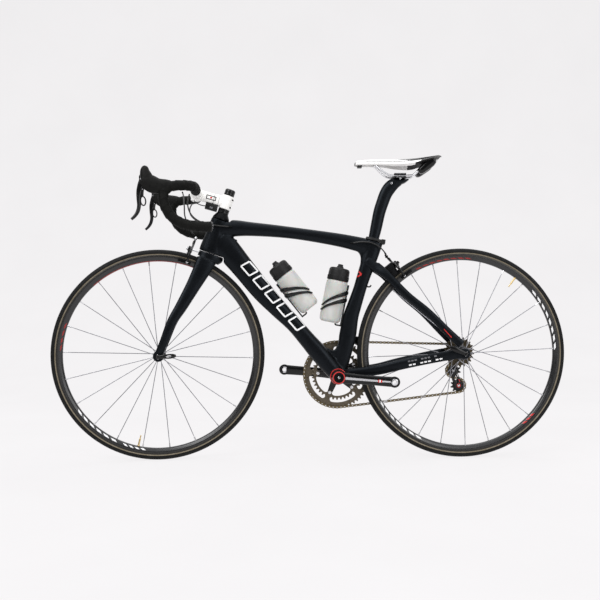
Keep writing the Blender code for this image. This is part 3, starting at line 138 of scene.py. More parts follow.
def loft(rings, closed=False):
    """A skin over rings of equal length, capped unless the rings close on themselves."""
    count = len(rings[0])
    verts = [v for ring in rings for v in ring]
    faces = []
    for i in range(len(rings) if closed else len(rings) - 1):
        a = i * count
        b = ((i + 1) % len(rings)) * count
        for j in range(count):
            k = (j + 1) % count
            faces.append((a + j, a + k, b + k, b + j))
    if not closed:
        faces.append(tuple(range(count)))
        faces.append(tuple(range((len(rings) - 1) * count, len(rings) * count)))
    return mesh_object("loft", verts, faces)


def oval_ring(center, u_axis, v_axis, u_half, v_half, sides, power=2.0):
    ring = []
    for i in range(sides):
        angle = 2 * math.pi * (i + 0.5) / sides
        cu, sv = math.cos(angle), math.sin(angle)
        u = math.copysign(abs(cu) ** (2 / power), cu) * u_half
        v = math.copysign(abs(sv) ** (2 / power), sv) * v_half
        ring.append(center + u_axis * u + v_axis * v)
    return ring


def blade(stations, sides=28, steps=6, power=2.4):
    """An oval tube along (x, y, z, depth, width) stations that run mostly in the XZ plane."""
    rows = catmull(stations, steps)
    points = [Vector(r[:3]) for r in rows]
    rings = []
    for i, row in enumerate(rows):
        tangent = (points[min(i + 1, len(points) - 1)] - points[max(i - 1, 0)]).normalized()
        side = (SIDEWAYS - tangent * tangent.y).normalized()
        rings.append(oval_ring(points[i], tangent.cross(side), side, row[3] / 2, row[4] / 2, sides,
                               power))
    return loft(rings)


def sweep(points, radius, sides=12, flat=1.0, flat_axis=None):
    """A rod along points, round or squashed along flat_axis; radius may vary from point to point."""
    pts = [Vector(p) for p in points]
    first = (pts[1] - pts[0]).normalized()
    guess = flat_axis or (SIDEWAYS if abs(first.y) < 0.8 else UP)
    u_axis = (guess - first * guess.dot(first)).normalized()
    rings = []
    for i, p in enumerate(pts):
        tangent = (pts[min(i + 1, len(pts) - 1)] - pts[max(i - 1, 0)]).normalized()
        u_axis = (u_axis - tangent * u_axis.dot(tangent)).normalized()
        r = radius[i] if isinstance(radius, (list, tuple)) else radius
        rings.append(oval_ring(p, u_axis, tangent.cross(u_axis), r * flat, r, sides))
    return loft(rings)


def turn(profile, center, axis, segments=48, bore=0.0):
    """A turned piece from (distance along axis, radius) pairs, solid or with a straight bore."""
    axis = Vector(axis).normalized()
    u_axis = Vector((1, 0, 0)) if abs(axis.y) > 0.99 else axis.orthogonal().normalized()
    v_axis = axis.cross(u_axis)
    outline = list(profile)
    if bore:
        outline = [(profile[0][0], bore)] + outline + [(profile[-1][0], bore)]
    rings = []
    for i in range(segments):
        angle = 2 * math.pi * i / segments
        spoke = u_axis * math.cos(angle) + v_axis * math.sin(angle)
        rings.append([center + axis * h + spoke * r for h, r in outline])
    if bore:
        return loft(rings, closed=True)
    return loft([[rings[i][j] for i in range(segments)] for j in range(len(outline))])


def rounded(profile, radius):
    """The profile with its inner corners cut by small arcs, so that turned edges catch light."""
    out = [profile[0]]
    for before, corner, after in zip(profile, profile[1:], profile[2:]):
        c = Vector(corner)
        to_before = Vector(before) - c
        to_after = Vector(after) - c
        reach = min(radius, to_before.length * 0.45, to_after.length * 0.45)
        a = c + to_before.normalized() * reach
        b = c + to_after.normalized() * reach
        for k in range(ROUNDING_STEPS + 1):
            t = k / ROUNDING_STEPS
            out.append(tuple(a * (1 - t) ** 2 + c * 2 * t * (1 - t) + b * t ** 2))
    out.append(profile[-1])
    return out


def turned_pin(low, high, inner, radius, edge, center, axis, segments=48, bore=0.0):
    """A turned ring between two heights, its rims rounded; with a tiny inner radius it is a pin."""
    profile = ((low, inner), (low, radius), (high, radius), (high, inner))
    return turn(rounded(profile, edge), center, axis, segments, bore)


def plate(outline, y_low, y_high, bevel=0.0):
    """A flat plate: (x, z) outline carried from y_low to y_high, its rims bevelled."""
    obj = loft([[Vector((x, y, z)) for x, z in outline] for y in (y_low, y_high)])
    return bevelled(obj, bevel) if bevel else obj


def link_outline(a, b, radius_a, radius_b, arc=10):
    """Outline of a link: round ends about the points a and b, joined by straight sides."""
    heading = math.atan2(b[1] - a[1], b[0] - a[0])
    out = []
    for center, radius, begin in ((a, radius_a, heading + math.pi / 2),
                                  (b, radius_b, heading - math.pi / 2)):
        for i in range(arc + 1):
            angle = begin + math.pi * i / arc
            out.append((center[0] + radius * math.cos(angle), center[1] + radius * math.sin(angle)))
    return out


def brick(center, along, across, size, bevel=0.0):
    """A block about center, with its own axes and full sizes along, across and over them."""
    over = along.cross(across).normalized()
    ends = []
    for s in (-1, 1):
        middle = center + along * s * size[0] / 2
        ends.append([middle + across * a * size[1] / 2 + over * b * size[2] / 2
                     for a, b in ((-1, -1), (1, -1), (1, 1), (-1, 1))])
    obj = loft(ends)
    return bevelled(obj, bevel) if bevel else obj


def bevelled(obj, width, segments=2, angle=35):
    modifier = obj.modifiers.new("bevel", "BEVEL")
    modifier.width = width
    modifier.segments = segments
    modifier.limit_method = "ANGLE"
    modifier.angle_limit = math.radians(angle)
    return applied(obj)


def applied(obj):
    """Turn the object's modifiers into its mesh."""
    bpy.context.view_layer.update()
    mesh = bpy.data.meshes.new_from_object(
        obj.evaluated_get(bpy.context.evaluated_depsgraph_get()))
    obj.modifiers.clear()
    obj.data = mesh
    return obj


def merged(objs):
    """One object of several meshes, which stay separate shells; materials are kept by name."""
    base = objs[0]
    bm = bmesh.new()
    materials = []
    for obj in objs:
        start = len(bm.faces)
        bm.from_mesh(obj.data)
        bm.faces.ensure_lookup_table()
        lookup = []
        for material in obj.data.materials:
            if material not in materials:
                materials.append(material)
            lookup.append(materials.index(material))
        for face in bm.faces[start:]:
            if lookup:
                face.material_index = lookup[min(face.material_index, len(lookup) - 1)]
    mesh = bpy.data.meshes.new("merged")
    bm.to_mesh(mesh)
    bm.free()
    for material in materials:
        mesh.materials.append(material)
    base.data = mesh
    for obj in objs[1:]:
        bpy.data.objects.remove(obj, do_unlink=True)
    return base


def boolean(base, others, operation):
    for other in others:
        modifier = base.modifiers.new(operation, "BOOLEAN")
        modifier.operation = operation
        modifier.solver = "EXACT"
        modifier.object = other
    applied(base)
    for other in others:
        bpy.data.objects.remove(other, do_unlink=True)
    return base


def cut(base, *cutters):
    return boolean(base, cutters, "DIFFERENCE")


def copy_of(obj):
    twin = bpy.data.objects.new(obj.name, obj.data.copy())
    bpy.context.scene.collection.objects.link(twin)
    return twin


def moved(obj, matrix):
    obj.data.transform(matrix)
    return obj


def skinned(objs, voxel, rounds):
    """One moulded skin over overlapping solids: their junctions and edges melt a little."""
    obj = merged(objs)
    obj.data.materials.clear()
    remesh = obj.modifiers.new("skin", "REMESH")
    remesh.mode = "VOXEL"
    remesh.voxel_size = voxel
    smooth = obj.modifiers.new("melt", "SMOOTH")
    smooth.factor = 0.5
    smooth.iterations = rounds
    return applied(obj)


def fillet(corner, along_a, along_b, reach, half):
    """A web in the XZ plane that rounds the inner corner between two tubes."""
    a = Vector((along_a[0], along_a[1])).normalized() * reach
    b = Vector((along_b[0], along_b[1])).normalized() * reach
    c = Vector(corner)
    back = (a + b).normalized() * -reach * 0.45
    outline = [tuple(c + back), tuple(c + a)]
    for k in range(1, 10):
        t = k / 10
        middle = c + (a + b) * (0.5 - FILLET_BOW) * 0.5
        outline.append(tuple((c + a) * (1 - t) ** 2 + middle * 2 * t * (1 - t) + (c + b) * t ** 2))
    outline.append(tuple(c + b))
    return plate(outline, -half, half)


def on_steer_axis(height, back=0.0):
    return STEER_BASE + STEER_UP * height + STEER_BACK * back


def pitch_radius(teeth):
    return CHAIN_PITCH / (2.0 * math.sin(math.pi / teeth))


def handed(stations, side):
    return [(row[0], side * row[1], *row[2:]) for row in stations]


def at_side(point, side):
    return Vector((point.x, side * point.y, point.z))


def in_plane(point):
    return Vector((point.x, 0.0, point.z))


def radial(angle):
    return Vector((math.cos(angle), 0.0, math.sin(angle)))


# ------------------------------------------------------------------ finishing a piece
def painted(obj, *mats):
    obj.data.materials.clear()
    for material in mats:
        obj.data.materials.append(material)
    return obj


def piece(obj, name, body, replaces=(), sharp=35):
    """Name a finished piece, turn it with the bars if it rides there, and tie it to its body.

    A piece given a body as (before, after, start, end) is tied to no body; it stays where it was made.
    """
    obj.name = name
    obj.data.name = name
    if body in STEERED_BODIES:
        obj.data.transform(STEERED)
    obj.data.shade_smooth()
    obj.data.set_sharp_from_angle(angle=math.radians(sharp))
    if isinstance(body, tuple):
        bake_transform(obj)
    else:
        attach(obj, body)
    if replaces:
        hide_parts(*replaces)
    return obj


# ------------------------------------------------------------------ materials
NOISE_ROUGHNESS = 0.55
BRUSHED_ALONG = (1, 12, 1)         # stretch of the brushing lines


class Shader:
    """A Principled material whose colour, roughness and relief come from noise in object space."""

    def __init__(self, name, metallic=0.0, **sockets):
        self.material = bpy.data.materials.new(name)
        self.material.use_nodes = True
        self.tree = self.material.node_tree
        self.principled = self.tree.nodes["Principled BSDF"]
        self.set(self.principled, Roughness=0.5, Metallic=metallic)
        for socket, value in sockets.items():
            self.principled.inputs[socket.replace("_", " ")].default_value = value
        self.coordinates = self.tree.nodes.new("ShaderNodeTexCoord").outputs["Object"]
        self.heights = []

    @staticmethod
    def set(node, **values):
        for socket, value in values.items():
            node.inputs[socket.replace("_", " ")].default_value = value

    def link(self, source, node, socket):
        self.tree.links.new(source, node.inputs[socket])

    def mapped(self, stretch=(1, 1, 1), turn_y=0.0):
        mapping = self.tree.nodes.new("ShaderNodeMapping")
        mapping.inputs["Scale"].default_value = stretch
        mapping.inputs["Rotation"].default_value = (0.0, turn_y, 0.0)
        self.link(self.coordinates, mapping, "Vector")
        return mapping.outputs["Vector"]

    def noise(self, size, detail=3.0, stretch=(1, 1, 1), turn_y=0.0):
        node = self.tree.nodes.new("ShaderNodeTexNoise")
        self.set(node, Scale=1.0 / size, Detail=detail, Roughness=NOISE_ROUGHNESS)
        self.link(self.mapped(stretch, turn_y), node, "Vector")
        return node.outputs["Fac"]

    def cells(self, size, feature="F1"):
        node = self.tree.nodes.new("ShaderNodeTexVoronoi")
        node.feature = feature
        self.set(node, Scale=1.0 / size)
        self.link(self.mapped(), node, "Vector")
        return node.outputs["Distance"]

    def ramp(self, source, *stops):
        node = self.tree.nodes.new("ShaderNodeValToRGB")
        elements = node.color_ramp.elements
        while len(elements) < len(stops):
            elements.new(0.5)
        for element, (position, color) in zip(elements, stops):
            element.position = position
            element.color = (*color, 1.0)
        self.link(source, node, "Fac")
        return node.outputs["Color"]

    def span(self, source, low, high, start=0.0, end=1.0):
        node = self.tree.nodes.new("ShaderNodeMapRange")
        self.set(node, From_Min=start, From_Max=end, To_Min=low, To_Max=high)
        self.link(source, node, "Value")
        return node.outputs["Result"]

    def color(self, source):
        self.link(source, self.principled, "Base Color")
        return self

    def rough(self, source):
        self.link(source, self.principled, "Roughness")
        return self

    def relief(self, source, depth, strength=1.0):
        """Stack a bump of the given depth in metres on what is there already."""
        node = self.tree.nodes.new("ShaderNodeBump")
        self.set(node, Strength=strength, Distance=depth)
        self.link(source, node, "Height")
        if self.heights:
            self.link(self.heights[-1], node, "Normal")
        self.heights.append(node.outputs["Normal"])
        self.link(node.outputs["Normal"], self.principled, "Normal")
        return self


def plain(name, dark, light, roughness, grain=0.02, relief=0.00003, relief_size=0.0006, **sockets):
    """A surface whose colour and roughness drift a little and that has a fine tooth."""
    shader = Shader(name, **sockets)
    drift = shader.noise(grain, 4.0)
    shader.color(shader.ramp(drift, (0.3, dark), (0.7, light)))
    shader.rough(shader.span(shader.noise(grain * 0.4, 5.0), *roughness, start=0.3, end=0.7))
    shader.relief(shader.noise(relief_size, 2.0), relief)
    return shader


def carbon_material():
    """Satin clear coat over short, faintly visible fibre strands."""
    # The blue Specular Tint is a painted sheen: it colours every highlight on the carbon blue, where a
    # bluish light would.
    shader = Shader("carbon_satin", Coat_Weight=0.03, Coat_Roughness=0.28, Specular_IOR_Level=0.17,
                    Specular_Tint=(0.72, 0.84, 1.0, 1.0))
    strands = shader.noise(0.0022, 3.0, stretch=(0.25, 1.0, 1.0), turn_y=math.radians(50))
    cloud = shader.noise(0.05, 3.0)
    fibre = shader.ramp(strands, (0.35, (0.0016, 0.0018, 0.0021)), (0.65, (0.0032, 0.0035, 0.0041)))
    shader.color(fibre)
    shader.rough(shader.span(cloud, 0.3, 0.37, 0.35, 0.65))
    shader.relief(shader.noise(0.0004, 2.0), 0.00001, 0.5)
    shader.relief(shader.noise(0.03, 1.0), 0.00025, 0.3)
    return shader.material


def tape_material():
    shader = Shader("bar_tape", Specular_IOR_Level=0.1)
    pores = shader.cells(0.0011)
    shader.color(shader.ramp(shader.noise(0.012, 4.0), (0.3, (0.0035, 0.0035, 0.0032)),
                             (0.75, (0.008, 0.0079, 0.007))))
    shader.rough(shader.span(pores, 0.72, 0.56))
    shader.relief(pores, 0.00018, 0.6)
    shader.relief(shader.noise(0.0035, 3.0), 0.0002, 0.35)
    return shader.material


def rubber_material(name, dark, light, pore, depth, roughness=(0.5, 0.66)):
    shader = Shader(name, Specular_IOR_Level=0.12)
    shader.color(shader.ramp(shader.noise(0.015, 4.0), (0.3, dark), (0.7, light)))
    shader.rough(shader.span(shader.noise(0.004, 4.0), *roughness, start=0.3, end=0.7))
    shader.relief(shader.cells(pore), depth, 0.5)
    return shader.material


def leather_material(name, dark, light, roughness):
    shader = Shader(name, Coat_Weight=0.08, Coat_Roughness=0.4)
    grain = shader.cells(0.0009, "DISTANCE_TO_EDGE")
    shader.color(shader.ramp(shader.noise(0.03, 5.0), (0.25, dark), (0.75, light)))
    shader.rough(shader.span(grain, roughness + 0.12, roughness, 0.0, 0.25))
    shader.relief(grain, 0.00012, 0.45)
    return shader.material


def brushed_material(name, dark, light, roughness):
    shader = Shader(name, metallic=1.0)
    lines = shader.noise(0.0035, 4.0, stretch=BRUSHED_ALONG)
    shader.color(shader.ramp(lines, (0.3, dark), (0.7, light)))
    shader.rough(shader.span(lines, *roughness, start=0.3, end=0.7))
    shader.relief(lines, 0.00003, 0.5)
    return shader.material


def bottle_material():
    """Frosted squeeze plastic: milky, with moulded flow lines."""
    shader = Shader("bottle_frosted", Transmission_Weight=0.22, IOR=1.45, Subsurface_Weight=0.25,
                    Subsurface_Scale=0.006)
    shader.color(shader.ramp(shader.noise(0.03, 4.0, stretch=(1, 1, 0.4)),
                             (0.3, (0.56, 0.56, 0.53)), (0.7, (0.7, 0.7, 0.67))))
    shader.rough(shader.span(shader.noise(0.006, 4.0), 0.34, 0.48, 0.3, 0.7))
    shader.relief(shader.noise(0.0012, 3.0), 0.00006, 0.5)
    return shader.material


CARBON = carbon_material()
GLOSS_BLACK = plain("gloss_black", (0.0028, 0.0028, 0.003), (0.0055, 0.0055, 0.0058), (0.1, 0.2),
                    relief=0.00001, Coat_Weight=0.12, Coat_Roughness=0.06,
                    Specular_IOR_Level=0.28).material
ANODISED_BLACK = brushed_material("anodised_black", (0.007, 0.007, 0.0075), (0.014, 0.014, 0.0147),
                                  (0.34, 0.48))
BLACK_PLASTIC = plain("black_plastic", (0.005, 0.005, 0.005), (0.009, 0.009, 0.009), (0.4, 0.54),
                      relief=0.00006, Specular_IOR_Level=0.3).material
CABLE_BLACK = plain("cable_black", (0.006, 0.006, 0.006), (0.011, 0.011, 0.011), (0.28, 0.4)).material
SILVER = brushed_material("polished_silver", (0.66, 0.66, 0.68), (0.84, 0.84, 0.86), (0.16, 0.3))
SPOKE_STEEL = brushed_material("spoke_steel", (0.2, 0.2, 0.22), (0.34, 0.34, 0.36), (0.3, 0.42))
HUB_GREY = brushed_material("hub_dark", (0.035, 0.035, 0.038), (0.075, 0.075, 0.08), (0.26, 0.4))
BRONZE = brushed_material("ring_bronze", (0.085, 0.07, 0.052), (0.17, 0.145, 0.11), (0.34, 0.52))
COG_GOLD = brushed_material("sprocket_nickel", (0.04, 0.032, 0.02), (0.1, 0.082, 0.055), (0.28, 0.44))
CHAIN_GOLD = brushed_material("chain_oiled", (0.1, 0.075, 0.04), (0.22, 0.175, 0.1), (0.28, 0.46))
CHAIN_DARK = brushed_material("chain_rollers", (0.05, 0.04, 0.03), (0.12, 0.1, 0.08), (0.34, 0.5))
BRASS = brushed_material("valve_brass", (0.62, 0.46, 0.22), (0.78, 0.6, 0.32), (0.22, 0.36))
RED_PAINT = plain("red_paint", (0.5, 0.012, 0.012), (0.62, 0.022, 0.018), (0.22, 0.34),
                  Coat_Weight=0.3, Coat_Roughness=0.15).material
RED_DULL = plain("red_decal", (0.22, 0.008, 0.008), (0.32, 0.012, 0.01), (0.34, 0.46)).material
WHITE_PAINT = plain("white_paint", (0.9, 0.89, 0.86), (0.95, 0.94, 0.92), (0.24, 0.36),
                    Coat_Weight=0.35, Coat_Roughness=0.15).material
WHITE_DECAL = plain("white_decal", (0.82, 0.82, 0.82), (0.9, 0.9, 0.9), (0.4, 0.52)).material
GREY_DECAL = plain("grey_decal", (0.1, 0.1, 0.11), (0.16, 0.16, 0.17), (0.4, 0.52)).material
RIM_BLACK = plain("rim_black", (0.0055, 0.0055, 0.006), (0.01, 0.01, 0.0108), (0.2, 0.32),
                  Coat_Weight=0.3, Coat_Roughness=0.18).material
RIM_TRACK = brushed_material("rim_track", (0.03, 0.029, 0.028), (0.06, 0.058, 0.055), (0.34, 0.5))
TYRE_TREAD = rubber_material("tyre_tread", (0.0085, 0.0087, 0.0088), (0.015, 0.0153, 0.0156),
                             0.0016, 0.00025, (0.58, 0.74))
TYRE_WALL = rubber_material("tyre_wall", (0.006, 0.006, 0.006), (0.01, 0.01, 0.01),
                            0.0008, 0.0001, (0.46, 0.6))
TYRE_TAN = rubber_material("tyre_tan", (0.15, 0.125, 0.085), (0.22, 0.19, 0.14), 0.0007, 0.0001)
HOOD_RUBBER = rubber_material("hood_rubber", (0.004, 0.004, 0.0036), (0.0085, 0.0084, 0.0078),
                              0.0014, 0.00014, (0.46, 0.6))
TAPE = tape_material()
LEATHER_WHITE = leather_material("leather_white", (0.9, 0.89, 0.87), (0.95, 0.94, 0.93), 0.4)
LEATHER_BLACK = leather_material("leather_black", (0.005, 0.005, 0.005), (0.01, 0.0097, 0.0094), 0.42)
BOTTLE = bottle_material()


# ------------------------------------------------------------------ camera, light and floor
def studio_sky():
    """A soft dome that lights from above over a dim horizon, seen as plain paper."""
    world = bpy.data.worlds.new("studio")
    world.use_nodes = True
    tree = world.node_tree
    direction = tree.nodes.new("ShaderNodeSeparateXYZ")
    generated = tree.nodes.new("ShaderNodeTexCoord").outputs["Generated"]
    tree.links.new(generated, direction.inputs["Vector"])
    height = tree.nodes.new("ShaderNodeMapRange")
    height.interpolation_type = "SMOOTHSTEP"
    for socket, value in (("From Min", 0.12), ("From Max", 0.75), ("To Min", 0.1), ("To Max", 1.22)):
        height.inputs[socket].default_value = value
    tree.links.new(direction.outputs["Z"], height.inputs["Value"])
    dome = tree.nodes["Background"]
    dome.inputs["Color"].default_value = (0.93, 0.94, 0.96, 1.0)
    tree.links.new(height.outputs["Result"], dome.inputs["Strength"])
    paper = tree.nodes.new("ShaderNodeBackground")
    paper.inputs["Color"].default_value = (0.925, 0.915, 0.92, 1.0)
    seen = tree.nodes.new("ShaderNodeMixShader")
    tree.links.new(tree.nodes.new("ShaderNodeLightPath").outputs["Is Camera Ray"], seen.inputs["Fac"])
    tree.links.new(dome.outputs["Background"], seen.inputs[1])
    tree.links.new(paper.outputs["Background"], seen.inputs[2])
    tree.links.new(seen.outputs["Shader"], tree.nodes["World Output"].inputs["Surface"])
    return world


CAMERA_LENS, CAMERA_SHIFT = 45.4, (-0.0267, 0.0139)
CAMERA_PLACE = (-0.0357, -2.4198, 0.4747)
CAMERA_TURNS = ((-1.26, "Z"), (0.1, "X"), (0.38, "Y"), (90, "X"))       # degrees, as fitted
FLOOR_HALF, FLOOR_DEPTH, FLOOR_BEND, FLOOR_FRONT, WALL_TOP = 9.0, 5.0, 3.0, -8.0, 9.0
LAMPS = (("key", (-2.2, -3.0, 3.2), (0.0, 0.0, 0.5), 2.6, 92.0),         # place, target, size, watts
         ("fill", (2.6, -3.2, 1.6), (0.1, 0.0, 0.5), 2.4, 52.0),
         ("top", (0.2, 0.4, 3.6), (0.0, 0.0, 0.4), 3.0, 40.0))


def build_stage():
    scene = bpy.context.scene
    camera_data = bpy.data.cameras.new("camera")
    camera_data.lens = CAMERA_LENS
    camera_data.shift_x, camera_data.shift_y = CAMERA_SHIFT
    camera = bpy.data.objects.new("camera", camera_data)
    matrix = Matrix.Translation(CAMERA_PLACE)
    for degrees, axis in CAMERA_TURNS:
        matrix = matrix @ Matrix.Rotation(math.radians(degrees), 4, axis)
    camera.matrix_world = matrix
    scene.collection.objects.link(camera)
    scene.camera = camera
    scene.view_settings.view_transform = "Standard"

    scene.world = studio_sky()

    flat = FLOOR_DEPTH - FLOOR_BEND
    section = [(FLOOR_FRONT, 0.0), (flat, 0.0)]
    section += [(flat + FLOOR_BEND * math.sin(math.radians(a)),
                 FLOOR_BEND - FLOOR_BEND * math.cos(math.radians(a))) for a in range(6, 91, 6)]
    section.append((FLOOR_DEPTH, WALL_TOP))
    verts = [(x, y, z) for x in (-FLOOR_HALF, FLOOR_HALF) for y, z in section]
    count = len(section)
    floor = mesh_object("studio_floor", verts, [(i, i + 1, count + i + 1, count + i)
                                                for i in range(count - 1)])
    floor.data.shade_smooth()
    paper = plain("studio_paper", (0.085, 0.083, 0.085), (0.092, 0.09, 0.092), (0.85, 0.95), grain=0.6,
                  relief=0.0002, relief_size=0.01, Emission_Strength=0.81, Specular_IOR_Level=0.0)
    glow = paper.ramp(paper.noise(0.6, 4.0), (0.3, (0.985, 0.97, 0.978)), (0.7, (1.0, 0.985, 0.993)))
    paper.link(glow, paper.principled, "Emission Color")
    painted(floor, paper.material)

    for name, place, target, size, energy in LAMPS:
        light = bpy.data.lights.new(name, "AREA")
        light.size = size
        light.energy = energy
        obj = bpy.data.objects.new(name, light)
        obj.location = place
        obj.rotation_euler = (Vector(target) - Vector(place)).to_track_quat("-Z", "Y").to_euler()
        scene.collection.objects.link(obj)


build_stage()


# ------------------------------------------------------------------ frame
SEAT_TUBE = ((0.086, 0, 0.266, 0.05, 0.036), (0.112, 0, 0.361, 0.052, 0.034),
             (0.1185, 0, 0.393, 0.055, 0.03), (0.1285, 0, 0.45, 0.05, 0.03),
             (0.141, 0, 0.489, 0.046, 0.03), (0.157, 0, 0.537, 0.042, 0.03),
             (0.169, 0, 0.575, 0.043, 0.031), (0.1895, 0, 0.635, 0.049, 0.033),
             (0.207, 0, 0.6915, 0.054, 0.034))
DOWN_TUBE = ((-0.29, 0, 0.7, 0.074, 0.044), (-0.262, 0, 0.668, 0.078, 0.047),
             (-0.2145, 0, 0.6095, 0.0715, 0.046), (-0.156, 0, 0.537, 0.067, 0.044),
             (-0.104, 0, 0.48, 0.058, 0.044), (-0.0525, 0, 0.4275, 0.051, 0.046),
             (-0.0105, 0, 0.378, 0.053, 0.052), (0.028, 0, 0.333, 0.058, 0.06),
             (0.079, 0, 0.272, 0.052, 0.066))
TOP_TUBE = ((-0.28, 0, 0.735, 0.055, 0.044), (-0.235, 0, 0.736, 0.052, 0.042),
            (-0.191, 0, 0.7335, 0.045, 0.038), (-0.11, 0, 0.7265, 0.0395, 0.034),
            (-0.032, 0, 0.717, 0.0375, 0.032), (0.064, 0, 0.702, 0.041, 0.03),
            (0.128, 0, 0.6895, 0.045, 0.03), (0.198, 0, 0.672, 0.052, 0.03))
SEATPOST = ((0.1875, 0, 0.64, 0.033, 0.023), (0.203, 0, 0.699, 0.034, 0.024),
            (0.2115, 0, 0.735, 0.037, 0.024), (0.2225, 0, 0.785, 0.039, 0.024),
            (0.233, 0, 0.817, 0.04, 0.0245), (0.243, 0, 0.843, 0.041, 0.0255),
            (0.255, 0, 0.862, 0.042, 0.027), (0.2705, 0, 0.877, 0.038, 0.03),
            (0.286, 0, 0.886, 0.032, 0.032))
SEATSTAY = ((0.18, 0.009, 0.633, 0.032, 0.018), (0.208, 0.0165, 0.608, 0.03, 0.016),
            (0.2418, 0.028, 0.583, 0.027, 0.014), (0.3038, 0.04, 0.5186, 0.025, 0.013),
            (0.3668, 0.05, 0.4656, 0.025, 0.012), (0.4298, 0.06, 0.4016, 0.026, 0.012),
            (0.47, 0.0672, 0.362, 0.028, 0.009))
CHAINSTAY = ((0.095, 0.02, 0.27, 0.03, 0.018), (0.15, 0.0255, 0.275, 0.031, 0.016),
             (0.216, 0.033, 0.2835, 0.032, 0.015), (0.279, 0.042, 0.2985, 0.032, 0.014),
             (0.342, 0.051, 0.312, 0.031, 0.013), (0.4055, 0.06, 0.3245, 0.031, 0.011),
             (0.455, 0.0676, 0.3325, 0.03, 0.007), (0.474, 0.0684, 0.334, 0.027, 0.005))
FORK_BLADE = ((-0.33, 0.02, 0.635, 0.062, 0.024), (-0.34, 0.0245, 0.614, 0.058, 0.02),
              (-0.374, 0.031, 0.5515, 0.0445, 0.018), (-0.412, 0.039, 0.4856, 0.036, 0.017),
              (-0.4398, 0.046, 0.44, 0.03, 0.015), (-0.464, 0.0525, 0.379, 0.026, 0.012),
              (-0.48, 0.054, 0.34, 0.026, 0.0072))
CROWN_TOP = 0.3575                 # heights along the steering axis
HEAD_TUBE_TOP = 0.47
CONE_TOP = 0.49
STEM_BOTTOM = 0.5055
STEM_TOP = 0.5495
CAP_TOP = 0.571
CROWN_SWEEP_RADIUS = 0.0495
HUB_FACE = {"front": 0.05, "rear": 0.065}
DROPOUT_FACE = {"front": 0.0572, "rear": 0.0712}
HANGER_BOLT = Vector((0.4905, 0.0, 0.3065))
TYRE_GAP = 0.0065                  # left free of the tyre by the seat tube and the fork
SEATSTAY_GAP = 0.007
CHAINSTAY_GAP = 0.005
AXLE_GAP = 0.0006                  # between a hub's face and the dropout


def steer_cylinder(radius, low, high):
    return turn(((low, radius), (high, radius)), STEER_BASE, STEER_UP, 64)


def wheel_space(axle, half, radius):
    return turn(((-half, radius), (half, radius)), axle, SIDEWAYS, 96)


def steer_ovals(rows):
    """A solid about the steering axis from (height, front reach, back reach, half width)."""
    rings = []
    for height, front, back, half in catmull(rows, 4):
        center = on_steer_axis(height, (back - front) / 2)
        rings.append(oval_ring(center, STEER_BACK, SIDEWAYS, (front + back) / 2, half, 36, 2.2))
    return loft(rings)


def build_front_triangle():
    crown_space = steer_cylinder(CROWN_SWEEP_RADIUS + 0.003, 0.28, CROWN_TOP + 0.0008)
    head = steer_ovals(((0.345, 0.033, 0.046, 0.0265), (0.372, 0.035, 0.044, 0.0255),
                        (0.42, 0.031, 0.032, 0.0235), (HEAD_TUBE_TOP, 0.029, 0.026, 0.0225)))
    down = blade(DOWN_TUBE, 36, 6, 2.8)
    cut(head, copy_of(crown_space))
    cut(down, crown_space, steer_cylinder(0.034, HEAD_TUBE_TOP - 0.012, 0.53))
    top = blade(TOP_TUBE, 36, 6, 2.5)
    cut(top, steer_cylinder(0.034, HEAD_TUBE_TOP, 0.53))
    seat = blade(SEAT_TUBE, 36, 6, 2.6)
    cut(seat, wheel_space(REAR_AXLE, 0.03, TYRE_RADIUS + TYRE_GAP))
    shell = turn(((-0.034, 0.0265), (0.034, 0.0265)), BB, SIDEWAYS)
    webs = [fillet((-0.25, 0.699), (1, -0.05), (0.62, -0.78), 0.026, 0.015),
            fillet((0.169, 0.66), (-0.97, 0.22), (-0.24, -0.97), 0.036, 0.01),
            fillet((0.078, 0.33), (-0.72, 0.69), (0.2, 0.98), 0.034, 0.012)]
    body = skinned([head, down, top, seat, shell, *webs], 0.0021, 14)
    piece(painted(body, CARBON), "carbon_front_triangle", "frame", ["front_triangle"], 60)
    return body


